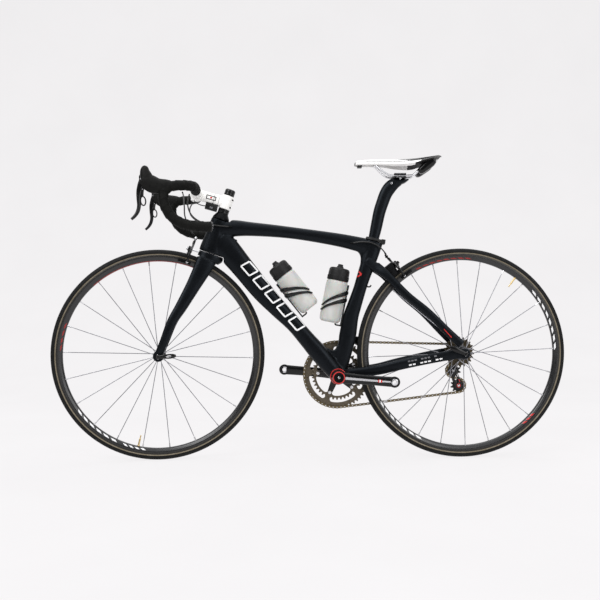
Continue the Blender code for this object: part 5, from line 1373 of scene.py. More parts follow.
def build_cassette(phase):
    parts = []
    for k, teeth in enumerate(SPROCKETS):
        y = COG_Y - 0.0029 * k
        samples = teeth * len(TOOTH)
        edge, slim = toothed(teeth, phase + 7 * k), toothed(teeth, phase + 7 * k, 0.0005)
        ring = patterned_ring(REAR_AXLE, samples, (
            (y - 0.0008, 0.0172), (y - 0.0008, slim), (y - 0.0003, edge), (y + 0.0003, edge),
            (y + 0.0008, slim), (y + 0.0008, 0.0172)))
        parts.append(painted(ring, COG_GOLD))
    body = turn(rounded(((0.0242, 0.0155), (0.0279, 0.016), (0.0284, 0.0172), (0.056, 0.0172),
                         (0.0566, 0.015)), 0.0004), REAR_AXLE, SIDEWAYS, 40, bore=0.004)
    parts.append(painted(body, ANODISED_BLACK))
    lock = patterned_ring(REAR_AXLE, 240, ((0.056, 0.012), (0.056, 0.0178), (0.0574, 0.0178),
                                           (0.058, 0.0172), (0.058, lambda i: 0.0128 if i // 10 % 2
                                                              else 0.0142), (0.0572, 0.012)))
    parts.append(painted(lock, SILVER))
    cap = turn(rounded(((0.056, 0.0118), (0.06, 0.009), (0.0646, 0.0085)), 0.0006), REAR_AXLE,
               SIDEWAYS, 32, bore=0.004)
    parts.append(painted(cap, ANODISED_BLACK))
    piece(merged(parts), "cassette_sprockets", "cassette", ["cassette"], 40)


def build_quick_release(where, axle, face, body, heading):
    """Skewer, nut and cam lever; the front lever is pierced by an oval hole."""
    rod = turn(((-face - 0.0045, 0.0023), (face + 0.004, 0.0023)), axle, SIDEWAYS, 20)
    nut = turn(rounded(((face + 0.0003, 0.007), (face + 0.0006, 0.0085), (face + 0.006, 0.0085),
                        (face + 0.009, 0.006), (face + 0.01, 0.0001)), 0.001), axle, SIDEWAYS, 32)
    cam = turn(rounded(((face + 0.0003, 0.007), (face + 0.0006, 0.0085), (face + 0.005, 0.0085),
                        (face + 0.0052, 0.006)), 0.0008), axle, -SIDEWAYS, 32)
    collar = turn(((face + 0.0016, 0.0087), (face + 0.0024, 0.0087)), axle, SIDEWAYS, 32, bore=0.007)
    parts = [painted(nut, ANODISED_BLACK), painted(rod, SILVER), painted(cam, ANODISED_BLACK),
             painted(collar, SILVER)]
    piece(merged(parts), f"{where}_skewer_turned", body, [f"{where}_skewer"])
    pivot = axle - SIDEWAYS * (face + 0.0105)
    along = Vector(heading).normalized()
    across = along.cross(SIDEWAYS).normalized()
    profile = ((-0.0066, 0.0036), (-0.0062, 0.0049), (0.0062, 0.0049), (0.0066, 0.0036))
    eye = turn(rounded(profile, 0.0006), pivot, across, 32)
    rows = catmull(((0.0, 0.0005, 0.0052, 0.003), (0.01, 0.0022, 0.0058, 0.0026),
                    (0.02, 0.0036, 0.0068, 0.0024), (0.036, 0.004, 0.0078, 0.0022),
                    (0.048, 0.003, 0.0066, 0.002), (0.056, 0.0018, 0.0034, 0.0014)), 5)
    rings = [oval_ring(pivot + along * d - SIDEWAYS * s, across, SIDEWAYS, wide, thin, 24, 2.3)
             for d, s, wide, thin in rows]
    arm = skinned([eye, loft(rings)], 0.0007, 2)
    if where == "front":
        hole = [oval_ring(pivot + along * 0.0335 + SIDEWAYS * y, along, across, 0.0085, 0.003, 24)
                for y in (-0.02, 0.02)]
        cut(arm, loft(hole))
    painted(arm, GLOSS_BLACK)
    pin = turned_pin(-0.0072, 0.0072, 0.0001, 0.0022, 0.0003, pivot, across, 16)
    piece(merged([arm, painted(pin, SILVER)]), f"{where}_cam_lever", f"{where}_qr",
          [f"{where}_qr_lever"])


FD_KNUCKLE = Vector((0.14, 0.033, 0.383))
FD_TOP_EDGE = ((0.1, 0.382), (0.125, 0.387), (0.155, 0.386), (0.179, 0.376), (0.186, 0.36),
               (0.182, 0.346))
FD_LOW_EDGE = ((0.172, 0.344), (0.165, 0.35), (0.15, 0.358), (0.135, 0.366), (0.118, 0.372),
               (0.1, 0.3755))


def build_front_derailleur():
    outline = catmull(FD_TOP_EDGE, 4) + catmull(FD_LOW_EDGE, 4)
    parts = []
    for low, high in ((0.054, 0.0555), (0.0375, 0.039)):
        parts.append(painted(plate(outline, low, high, 0.0004), SILVER if low > 0.05 else GLOSS_BLACK))
    bridge = brick(Vector((0.141, 0.0465, 0.3822)), SIDEWAYS, AWAY, (0.0166, 0.022, 0.0056), 0.001)
    tail = turn(((0.0383, 0.0026), (0.0547, 0.0026)), Vector((0.178, 0.0, 0.351)), SIDEWAYS, 20)
    profile = ((0.0305, 0.004), (0.0308, 0.0052), (0.038, 0.0052), (0.0384, 0.004))
    knuckle = turn(rounded(profile, 0.0006), in_plane(FD_KNUCKLE), SIDEWAYS, 24)
    arm = plate(link_outline((0.14, 0.383), (0.146, 0.401), 0.0055, 0.0038), 0.0314, 0.0346, 0.0006)
    screw = turned_pin(0.0296, 0.035, 0.0001, 0.0036, 0.0005, Vector((0.146, 0, 0.401)), SIDEWAYS, 6)
    parts += [painted(bridge, GLOSS_BLACK), painted(tail, SPOKE_STEEL),
              painted(knuckle, ANODISED_BLACK), painted(arm, ANODISED_BLACK), painted(screw, SILVER)]
    piece(merged(parts), "front_derailleur_plates", "front_derailleur",
          ["front_derailleur_cage"])
    tab = skinned([brick(Vector((0.1255, 0.016, 0.3865)), AWAY, SIDEWAYS, (0.033, 0.013, 0.0135)),
                   brick(Vector((0.138, 0.0235, 0.385)), SIDEWAYS, AWAY,
                         (0.012, 0.011, 0.0105))], 0.0009, 3)
    nut = turn(rounded(((0.015, 0.0001), (0.015, 0.004), (0.0228, 0.004), (0.0234, 0.003),
                        (0.0234, 0.0001)), 0.0004), Vector((0.12, 0, 0.387)), SIDEWAYS, 6)
    piece(merged([painted(tab, ANODISED_BLACK), painted(nut, SILVER)]), "front_derailleur_hanger",
          "frame")


def build_rear_derailleur(phase_up, phase_low):
    top = in_plane(JOCKEY_TOP)
    low = in_plane(JOCKEY_LOW)
    arm_end = (0.4745, 0.284)
    knuckle = turn(rounded(((0.063, 0.01), (0.0634, 0.0116), (0.0765, 0.0112), (0.0782, 0.007),
                            (0.0782, 0.0001)), 0.0012), top, SIDEWAYS, 40)
    arm = plate(link_outline((top.x, top.z), arm_end, 0.01, 0.0068), 0.0735, 0.079)
    body = painted(skinned([knuckle, arm], 0.0009, 3), GLOSS_BLACK)
    ring = turn(((0.0642, 0.012), (0.0656, 0.012)), top, SIDEWAYS, 40, bore=0.0104)
    bolt = turn(rounded(((0.078, 0.0001), (0.078, 0.0042), (0.0796, 0.0038), (0.0796, 0.002),
                         (0.0786, 0.0018), (0.0786, 0.0001)), 0.0004), top, SIDEWAYS, 24)
    link_bolt = turned_pin(0.0715, 0.08, 0.0001, 0.0034, 0.0005, Vector((arm_end[0], 0, arm_end[1])),
                           SIDEWAYS, 20)
    parts = [body, painted(ring, RED_PAINT), painted(bolt, SILVER), painted(link_bolt, SILVER)]
    piece(merged(parts), "rear_derailleur_knuckle", "derailleur_body",
          ["rear_derailleur_body"])

    profile = ((0.0716, 0.0085), (0.072, 0.0104), (0.0822, 0.01), (0.083, 0.008))
    shoulder = turn(rounded(profile, 0.0008), HANGER_BOLT, SIDEWAYS, 40)
    link = plate(link_outline((HANGER_BOLT.x, HANGER_BOLT.z), (0.48, 0.292), 0.0092, 0.0056),
                 0.0797, 0.083)
    shoulder = painted(skinned([shoulder, link], 0.0009, 3), GLOSS_BLACK)
    screw = turn(rounded(((0.0826, 0.0001), (0.0826, 0.0046), (0.0842, 0.0042), (0.0842, 0.0024),
                          (0.0832, 0.0022), (0.0832, 0.0001)), 0.0004), HANGER_BOLT, SIDEWAYS, 24)
    piece(merged([shoulder, painted(screw, SILVER)]), "rear_derailleur_shoulder", "frame")

    ends = ((top.x, top.z), (low.x, low.z))
    parts = []
    for (r1, r2), (y0, y1), material in (((0.011, 0.0128), (0.0604, 0.0624), GLOSS_BLACK),
                                         ((0.0104, 0.0128), (0.0466, 0.0486), GLOSS_BLACK)):
        cheek = plate(link_outline(*ends, r1, r2, 14), y0, y1)
        middle = (top + low) / 2
        along = (low - top).normalized()
        across = along.cross(SIDEWAYS).normalized()
        window = loft([oval_ring(middle + SIDEWAYS * y, along, across, 0.0095, 0.0052, 28)
                       for y in (y0 - 0.005, y1 + 0.005)])
        parts.append(painted(bevelled(cut(cheek, window), 0.0004), material))
    for center, tint in ((top, HUB_GREY), (low, RED_PAINT)):
        pin = turn(rounded(((0.0456, 0.0001), (0.0456, 0.0036), (0.0468, 0.0036), (0.047, 0.0024),
                            (0.062, 0.0024), (0.0622, 0.0036), (0.0634, 0.0036), (0.0634, 0.0001)),
                           0.0003), center, SIDEWAYS, 24)
        parts.append(painted(pin, SILVER))
        for y in (0.0459, 0.0622):
            ring = turn(((y, 0.0064), (y + 0.001, 0.0064)), center, SIDEWAYS, 32, bore=0.0046)
            parts.append(painted(ring, tint))
    for offset, material in ((0.36, WHITE_DECAL), (0.72, RED_PAINT)):
        at = top.lerp(low, offset)
        along = (low - top).normalized()
        for y in (0.0463, 0.0625):
            side_shift = along.cross(SIDEWAYS).normalized() * 0.0076
            parts.append(painted(brick(at + side_shift + SIDEWAYS * y, along, along.cross(SIDEWAYS),
                                       (0.01, 0.0022, 0.0006), 0.0002), material))
    piece(merged(parts), "rear_derailleur_cheeks", "derailleur_cage",
          ["rear_derailleur_cage"])
    for name, center, phase in (("upper", JOCKEY_TOP, phase_up), ("lower", JOCKEY_LOW, phase_low)):
        samples = JOCKEY_TEETH * len(TOOTH)
        edge, slim = toothed(JOCKEY_TEETH, phase), toothed(JOCKEY_TEETH, phase, TOOTH_SLIM)
        y = COG_Y
        wheel = patterned_ring(center, samples, (
            (y - 0.0036, 0.004), (y - 0.0036, 0.012), (y - 0.0022, 0.0135), (y - 0.0012, slim),
            (y - 0.0004, edge), (y + 0.0004, edge), (y + 0.0012, slim), (y + 0.0022, 0.0135),
            (y + 0.0036, 0.012), (y + 0.0036, 0.004)))
        bearing = turn(((y - 0.0038, 0.0066), (y + 0.0038, 0.0066)), in_plane(center),
                       SIDEWAYS, 28, bore=0.003)
        piece(merged([painted(wheel, BLACK_PLASTIC), painted(bearing, HUB_GREY)]),
              f"jockey_{name}_toothed", f"jockey_{name}", [f"jockey_{name}_wheel"], 40)


# ------------------------------------------------------------------ cockpit
BAR_CLAMP = Vector((-0.36, 0.0, 0.843))
BAR_RADIUS = 0.0148
STEM_CLAMP_HALF = 0.0205
STEM_MIDDLE = on_steer_axis((STEM_BOTTOM + STEM_TOP) / 2)
STEM_AHEAD = (BAR_CLAMP - STEM_MIDDLE).normalized()
STEM_OVER = SIDEWAYS.cross(STEM_AHEAD)


def from_clamp(ahead, side, over):
    return BAR_CLAMP + STEM_AHEAD * ahead + SIDEWAYS * side + STEM_OVER * over


def stem_section(distance, half_height, half_width, sides=40):
    return oval_ring(STEM_MIDDLE + STEM_AHEAD * distance, STEM_OVER, SIDEWAYS, half_height,
                     half_width, sides, 2.7)


def hex_screw(head, axis, radius, depth, material):
    """A socket-head screw: a turned head with a dark six-sided recess."""
    profile = rounded(((-depth, radius), (depth, radius), (depth + 0.0001, radius * 0.3)), 0.0005)
    screw = painted(turn(profile, head, axis, 24), material)
    socket = painted(turn(((depth - 0.0005, radius * 0.48), (depth + 0.0003, radius * 0.48)), head,
                          axis, 6), BLACK_PLASTIC)
    return merged([screw, socket])


STEM_MARK = ((0.034, 0.066, -0.0062, -0.0036, BLACK_PLASTIC),
             (0.034, 0.066, 0.005, 0.0076, BLACK_PLASTIC),
             (0.034, 0.0368, -0.0062, 0.0076, BLACK_PLASTIC),
             (0.0632, 0.066, -0.0062, 0.0076, BLACK_PLASTIC),
             (0.047, 0.053, -0.0016, 0.0032, RED_PAINT))


def build_stem():
    steerer_clamp = turned_pin(STEM_BOTTOM, STEM_TOP, 0.002, 0.019, 0.0015, STEER_BASE, STEER_UP)
    arm = loft([stem_section(*row) for row in (
        (0.004, 0.0198, 0.0172), (0.022, 0.018, 0.0162), (0.045, 0.0167, 0.0156),
        (0.07, 0.0168, 0.0165), (0.092, 0.0176, 0.0184))])
    bar_clamp = turned_pin(-STEM_CLAMP_HALF, STEM_CLAMP_HALF, 0.01, 0.0205, 0.0015, BAR_CLAMP, SIDEWAYS)
    heads = []
    bosses = []
    for height in (STEM_BOTTOM + 0.0095, STEM_TOP - 0.0095):
        middle = on_steer_axis(height, 0.016)
        bosses.append(turn(((-0.012, 0.0045), (0.012, 0.0045)), middle, SIDEWAYS, 24))
        heads.append(hex_screw(middle - SIDEWAYS * 0.0112, SIDEWAYS * -1, 0.0031, 0.0016,
                               ANODISED_BLACK))
    stem = skinned([steerer_clamp, arm, bar_clamp, *bosses], 0.0009, 6)
    front = brick(from_clamp(0.0312, 0.0, 0.0), STEM_AHEAD, SIDEWAYS, (0.062, 0.1, 0.1))
    slit = brick(on_steer_axis((STEM_BOTTOM + STEM_TOP) / 2, 0.0165),
                 STEER_BACK, SIDEWAYS, (0.012, 0.0016, 0.07))
    cut(stem, front, slit, turn(((-0.05, 0.016), (0.05, 0.016)), BAR_CLAMP, SIDEWAYS))
    badge = []
    for side in (-1, 1):
        for start, end, low, high, material in STEM_MARK:
            rows = [[STEM_MIDDLE + STEM_AHEAD * (start + (end - start) * i / 24)
                     + STEM_OVER * (low + (high - low) * j / 10) for j in range(11)] for i in range(25)]
            badge.append(painted(decal(stem, rows, SIDEWAYS * -side, 0.0004), material))
    piece(painted(stem, WHITE_PAINT), "stem_body", "steering", ["stem"])
    piece(merged(badge), "stem_badge", "steering")
    piece(merged(heads), "stem_pinch_screws", "steering")

    seam = loft([stem_section(0.0245, 0.0182, 0.0165), stem_section(0.0253, 0.0182, 0.0165)])
    piece(painted(seam, GREY_DECAL), "stem_seam", "steering")

    middle = STEM_MIDDLE + STEM_AHEAD * 0.0425 - STEM_OVER * 0.026
    block = painted(brick(middle, STEM_AHEAD, SIDEWAYS, (0.039, 0.024, 0.0215), 0.002), BLACK_PLASTIC)
    stripe = painted(brick(middle - STEM_OVER * 0.003, STEM_AHEAD, SIDEWAYS, (0.01, 0.0244, 0.006),
                           0.0004), GREY_DECAL)
    strap = painted(loft([stem_section(d, 0.0174, 0.0163) for d in (0.04, 0.0416)]), GREY_DECAL)
    lead = sweep(catmull([middle + STEM_AHEAD * d - STEM_OVER * drop + SIDEWAYS * side for d, side,
                          drop in
                          ((0.018, -0.006, 0.002), (0.032, -0.008, 0.0035), (0.048, -0.012, 0.001),
                           (0.06, -0.016, -0.006))], 8), 0.0016, 12)
    piece(merged([block, stripe, strap, painted(lead, CABLE_BLACK)]), "stem_guide_block", "steering")


def build_faceplate():
    plate_body = turned_pin(-STEM_CLAMP_HALF, STEM_CLAMP_HALF, 0.016, 0.0205, 0.0012, BAR_CLAMP,
                            SIDEWAYS, 64)
    ears = [brick(from_clamp(0.006, 0.0, over), STEM_AHEAD, SIDEWAYS, (0.01, 0.04, 0.009), 0.0015)
            for over in (-0.0185, 0.0185)]
    face = skinned([plate_body, *ears], 0.0008, 4)
    back = brick(from_clamp(-0.0308, 0.0, 0.0), STEM_AHEAD, SIDEWAYS, (0.063, 0.1, 0.1))
    window = brick(from_clamp(0.02, 0.0, 0.0), STEM_AHEAD, SIDEWAYS, (0.03, 0.016, 0.02), 0.002)
    cut(face, back, window, turn(((-0.05, 0.016), (0.05, 0.016)), BAR_CLAMP, SIDEWAYS))
    piece(painted(face, WHITE_PAINT), "faceplate_body", "steering", ["stem_faceplate"])
    screws = [hex_screw(from_clamp(0.0112, side, over), STEM_AHEAD, 0.0034, 0.0022, SILVER)
              for side in (-0.014, 0.014) for over in (-0.0185, 0.0185)]
    piece(merged(screws), "faceplate_screws", "steering")


def build_headset():
    steps = rounded(((HEAD_TUBE_TOP + 0.0003, 0.015), (HEAD_TUBE_TOP + 0.0003, 0.0275),
                     (HEAD_TUBE_TOP + 0.006, 0.0262), (HEAD_TUBE_TOP + 0.013, 0.0222),
                     (CONE_TOP, 0.018), (CONE_TOP, 0.015)), 0.001)
    cone = painted(turn(steps, STEER_BASE, STEER_UP, 64), ANODISED_BLACK)
    spacers = []
    for low, high in ((CONE_TOP + 0.0002, 0.4975), (0.4978, STEM_BOTTOM - 0.0003)):
        ring = rounded(((low, 0.015), (low, 0.0178), (high, 0.0178), (high, 0.015)), 0.0006)
        spacers.append(painted(turn(ring, STEER_BASE, STEER_UP, 64), GLOSS_BLACK))
    piece(merged([cone, *spacers]), "headset_stack", "steering", ["headset_spacers"])

    groove = 0.0157
    cap_steps = rounded(((STEM_TOP + 0.0003, 0.002), (STEM_TOP + 0.0003, 0.0165),
                         (0.5585, 0.0165), (0.5587, groove), (0.5597, groove), (0.5599, 0.0165),
                         (CAP_TOP - 0.003, 0.0162), (CAP_TOP, 0.013), (CAP_TOP, 0.004)), 0.0006)
    cap = painted(turn(cap_steps, STEER_BASE, STEER_UP, 64), GLOSS_BLACK)
    screw = hex_screw(on_steer_axis(CAP_TOP - 0.001), STEER_UP, 0.004, 0.0012, SILVER)
    piece(merged([cap, screw]), "steerer_cap", "steering", ["stem_top_cap"])


BAR_PATH = ((-0.3606, 0.079, 0.845), (-0.3608, 0.093, 0.8456), (-0.3615, 0.13, 0.847),
            (-0.366, 0.168, 0.847), (-0.383, 0.196, 0.8465), (-0.41, 0.205, 0.845),
            (-0.433, 0.206, 0.84), (-0.448, 0.207, 0.824), (-0.449, 0.208, 0.802),
            (-0.442, 0.209, 0.779), (-0.43, 0.209, 0.759), (-0.413, 0.21, 0.744),
            (-0.39, 0.21, 0.7335), (-0.36, 0.21, 0.728), (-0.313, 0.21, 0.7255))
WRAP_PITCH = 0.0225
WRAP_STEP = 0.0013
WRAP_RISE = 0.86                   # share of a turn over which the tape's edge is ramped up
WRAP_SIDES = 40


def wound_tape(side):
    """Cork tape wound around the bar: each turn overlaps the last with a low, soft edge."""
    path = [Vector(p) for p in catmull(handed(BAR_PATH, side), 22)]
    first = (path[1] - path[0]).normalized()
    u_axis = (UP - first * UP.dot(first)).normalized()
    walked = 0.0
    rings = []
    for i, point in enumerate(path):
        if i:
            walked += (point - path[i - 1]).length
        tangent = (path[min(i + 1, len(path) - 1)] - path[max(i - 1, 0)]).normalized()
        u_axis = (u_axis - tangent * u_axis.dot(tangent)).normalized()
        v_axis = tangent.cross(u_axis)
        ring = []
        for k in range(WRAP_SIDES):
            angle = 2 * math.pi * k / WRAP_SIDES
            turn_share = (walked / WRAP_PITCH + side * angle / (2 * math.pi)) % 1.0
            rise = (turn_share / WRAP_RISE if turn_share < WRAP_RISE
                    else (1.0 - turn_share) / 0.14)
            radius = BAR_RADIUS - 0.0003 + WRAP_STEP * rise ** 1.6
            ring.append(point + (u_axis * math.cos(angle) + v_axis * math.sin(angle)) * radius)
        rings.append(ring)
    return loft(rings)


def build_handlebar():
    bulge = rounded(((-0.035, 0.002), (-0.035, 0.0129), (-0.025, 0.0157), (0.025, 0.0157),
                     (0.035, 0.0129), (0.035, 0.002)), 0.003)
    bar = [turn(bulge, BAR_CLAMP, SIDEWAYS, 64)]
    for side in (-1, 1):
        shoulder = handed(((-0.36, 0.033, 0.843), *BAR_PATH[:2]), side)
        bar.append(sweep(catmull(shoulder, 6), 0.0129, 40))
    piece(painted(merged(bar), WHITE_PAINT), "bar_middle", "steering", ["handlebar"])
    for name, side in LEFT_RIGHT:
        tape = painted(wound_tape(side), TAPE)
        piece(tape, f"bar_wrap_{name}", "steering", [f"bar_tape_{name}"], sharp=50)
        start = at_side(Vector(BAR_PATH[0]), side)
        band = turn(rounded(((-0.0045, 0.012), (-0.0045, 0.0154), (0.0125, 0.016),
                             (0.0125, 0.012)), 0.0004), start, SIDEWAYS * side, 48)
        piece(painted(band, GLOSS_BLACK), f"bar_band_{name}", "steering")
        end = at_side(Vector(BAR_PATH[-1]), side)
        out = Vector((0.9986, 0.0, -0.053))
        plug = turn(rounded(((-0.002, 0.01), (-0.002, 0.015), (0.0022, 0.015), (0.0046, 0.0118),
                             (0.0046, 0.002)), 0.001), end, out, 48)
        # The silver disc on the plug's face is a painted glint, in place of the small highlights on the
        # black plug.
        ring = turn(((0.0042, 0.006), (0.005, 0.006)), end, out, 32)
        piece(merged([painted(plug, GLOSS_BLACK), painted(ring, SILVER)]), f"bar_plug_{name}",
              "steering")


HOOD = ((-0.429, 0.2062, 0.842, 0.034, 0.03), (-0.442, 0.2065, 0.8435, 0.037, 0.0305),
        (-0.454, 0.2065, 0.8432, 0.0405, 0.031), (-0.465, 0.2065, 0.843, 0.045, 0.033),
        (-0.48, 0.206, 0.847, 0.05, 0.034), (-0.495, 0.2055, 0.856, 0.046, 0.032),
        (-0.5075, 0.205, 0.8645, 0.034, 0.027))
HORN = ((-0.486, 0.2055, 0.85, 0.04, 0.032), (-0.4935, 0.205, 0.862, 0.037, 0.031),
        (-0.4985, 0.2045, 0.874, 0.0335, 0.029), (-0.501, 0.2035, 0.886, 0.027, 0.026),
        (-0.5, 0.203, 0.896, 0.019, 0.019), (-0.499, 0.203, 0.901, 0.008, 0.009))
LEVER_PIVOT = Vector((-0.508, 0.205, 0.863))
LEVER = ((-0.512, 0.205, 0.876, 0.006, 0.01), (-0.5112, 0.205, 0.87, 0.014, 0.012),
         (-0.51, 0.205, 0.86, 0.016, 0.012), (-0.5115, 0.205, 0.85, 0.019, 0.012),
         (-0.5145, 0.205, 0.838, 0.019, 0.012), (-0.5178, 0.205, 0.824, 0.0165, 0.012),
         (-0.519, 0.206, 0.806, 0.013, 0.013), (-0.5182, 0.208, 0.785, 0.0115, 0.014),
         (-0.522, 0.2095, 0.768, 0.011, 0.014), (-0.53, 0.211, 0.755, 0.0095, 0.013),
         (-0.54, 0.212, 0.7455, 0.008, 0.01))
PADDLE_PIVOT = Vector((-0.5085, 0.204, 0.833))
PADDLE = ((-0.509, 0.204, 0.833, 0.01, 0.008), (-0.5095, 0.2025, 0.823, 0.0085, 0.007),
          (-0.509, 0.2005, 0.813, 0.0065, 0.006))
PADDLE_LOOP = Vector((-0.5075, 0.198, 0.8))
HOOP_STEPS = 40


def hoop(center, u_axis, v_axis, u_half, v_half, radius):
    """A closed oval ring of round section."""
    rings = []
    normal = u_axis.cross(v_axis).normalized()
    for i in range(HOOP_STEPS):
        angle = 2 * math.pi * i / HOOP_STEPS
        point = center + u_axis * u_half * math.cos(angle) + v_axis * v_half * math.sin(angle)
        out = (u_axis * math.cos(angle) / u_half + v_axis * math.sin(angle) / v_half).normalized()
        rings.append(oval_ring(point, out, normal, radius, radius * 1.5, 12))
    return loft(rings, closed=True)


def build_controls():
    for name, side in LEFT_RIGHT:
        pivot = at_side(LEVER_PIVOT, side)
        hood = skinned([blade(handed(HOOD, side), 32, 6, 2.3), blade(handed(HORN, side), 28, 6, 2.3)],
                       0.0013, 14)
        mouth = brick(pivot + Vector((-0.0048, 0.0, -0.011)), AWAY, SIDEWAYS,
                      (0.031, 0.0142, 0.038), 0.002)
        cut(hood, mouth)
        piece(painted(hood, HOOD_RUBBER), f"hood_cover_{name}", "steering", [f"hood_{name}"])

        barrel = turn(((-0.0062, 0.0064), (0.0062, 0.0064)), pivot, SIDEWAYS, 32)
        lever = skinned([blade(handed(LEVER, side), 24, 6, 2.2), barrel], 0.0007, 6)
        body = f"lever_{name}"
        piece(painted(lever, GLOSS_BLACK), f"lever_blade_{name}", body,
              [f"brake_lever_{name}"])
        pins = []
        for place in (Vector((-0.5115, 0.0, 0.8705)), Vector((-0.5122, 0.0, 0.8612))):
            pins.append(turned_pin(-0.0064, 0.0064, 0.001, 0.0023, 0.0005, place + SIDEWAYS * pivot.y,
                             SIDEWAYS, 24))
        piece(painted(merged(pins), SILVER), f"lever_pins_{name}", body)

        knuckle = turned_pin(-0.005, 0.005, 0.001, 0.005, 0.001, at_side(PADDLE_PIVOT, side), SIDEWAYS,
                             32)
        loop = hoop(at_side(PADDLE_LOOP, side), Vector((1, 0, 0.1)).normalized(),
                    Vector((-0.1, 0.1 * side, 0.99)).normalized(), 0.0072, 0.013, 0.002)
        paddle = merged([blade(handed(PADDLE, side), 16, 6, 2.2), knuckle, loop])
        piece(painted(paddle, GLOSS_BLACK), f"paddle_loop_{name}", f"paddle_{name}",
              [f"shift_paddle_{name}"])
        clip = turned_pin(-0.0053, 0.0053, 0.0008, 0.0018, 0.0004, at_side(PADDLE_PIVOT, side),
                          SIDEWAYS, 20)
        piece(painted(clip, SILVER), f"paddle_pin_{name}", f"paddle_{name}")


# ------------------------------------------------------------------ cables
CABLE_RADIUS = 0.0021
FRONT_BRAKE_CABLE = ((-0.395, -0.2, 0.826), (-0.394, -0.15, 0.818),
                     (-0.395, -0.09, 0.798), (-0.395, -0.055, 0.77),
                     (-0.384, -0.026, 0.74), (-0.37, -0.008, 0.714))
STEER_CABLE = ((-0.378, 0.13, 0.828), (-0.385, 0.09, 0.805), (-0.378, 0.056, 0.778),
               (-0.35, 0.039, 0.756), (-0.308, 0.031, 0.744), (-0.25, 0.0262, 0.738))
REAR_BRAKE_CABLE = ((0.13, -0.018, 0.685), (0.16, -0.021, 0.689), (0.19, -0.024, 0.687),
                    (0.215, -0.025, 0.676), (0.232, -0.026, 0.66), (0.24, -0.026, 0.648))


def cable_run(points, ferrule_at_start=False, ferrule_at_end=False):
    """Outer cable along a smooth route, with a turned end cap where it enters something."""
    path = [Vector(p) for p in catmull(points, 14)]
    parts = [painted(sweep(path, CABLE_RADIUS, 16), CABLE_BLACK)]
    for wanted, point, ahead in ((ferrule_at_start, path[0], path[1] - path[0]),
                                 (ferrule_at_end, path[-1], path[-2] - path[-1])):
        if wanted:
            collar = rounded(((-0.001, 0.001), (-0.001, 0.0028), (0.006, 0.0028),
                              (0.0075, 0.0023), (0.0075, 0.001)), 0.0004)
            parts.append(painted(turn(collar, point, ahead, 20), ANODISED_BLACK))
    return merged(parts)


def build_cables():
    piece(cable_run(FRONT_BRAKE_CABLE, False, True), "front_brake_housing", "steering",
          ["front_brake_cable"])
    piece(cable_run(REAR_BRAKE_CABLE, True, True), "rear_brake_housing", "frame",
          ["rear_brake_cable"])
    for name, side in LEFT_RIGHT:
        route = [Vector(p) for p in handed(STEER_CABLE, side)]
        route = [STEERED @ point for point in route[:3]] + route[3:]
        piece(cable_run(route, False, True), f"head_housing_{name}",
              ("steering", "frame", route[1], route[5]), [f"head_cable_{name}"])


# ------------------------------------------------------------------ brakes
PAD_GAP = 0.0022
PAD_THICKNESS = 0.0095
ARM_PATH = ((0.0, 0.0), (0.009, 0.001), (0.017, -0.002), (0.025, -0.0085), (0.029, -0.016),
            (0.0304, -0.026), (0.03, -0.034))
ARM_HALF_WIDTH = (0.0085, 0.0078, 0.007, 0.0065, 0.0062, 0.0058, 0.0055)


def arm_bar(points, half_widths, middle, half_depth):
    """A forged bar in a brake's plane, with rounded edges."""
    rows = catmull([(*p, w) for p, w in zip(points, half_widths)], 6)
    rings = []
    for i, (y, z, half) in enumerate(rows):
        before, after = rows[max(i - 1, 0)], rows[min(i + 1, len(rows) - 1)]
        along = Vector((0.0, after[0] - before[0], after[1] - before[1])).normalized()
        rings.append(oval_ring(Vector((middle, y, z)), along.cross(AWAY), AWAY, half, half_depth, 24,
                               4.0))
    return loft(rings)


def brake_block(side, reach):
    """Rubber pad in its holder beside the rim, both straight blocks; the pad is slotted."""
    inner = PAD_GAP + RIM_HALF_WIDTH
    parts = []
    for half_length, low, high, y0, y1, material in (
            (0.02, -0.005, 0.005, inner, inner + 0.0052, TYRE_WALL),
            (0.0205, -0.0053, 0.0053, inner + 0.0052, inner + PAD_THICKNESS, ANODISED_BLACK)):
        center = Vector((0.017, side * (y0 + y1) / 2, -reach + (low + high) / 2))
        block = brick(center, AWAY, SIDEWAYS, (half_length * 2, y1 - y0, high - low), 0.0012)
        parts.append(painted(block, material))
    slots = [brick(Vector((x, side * inner, -reach)), AWAY, SIDEWAYS, (0.0014, 0.003, 0.02))
             for x in (0.005, 0.013, 0.021, 0.029)]
    cut(parts[0], *slots)
    return parts


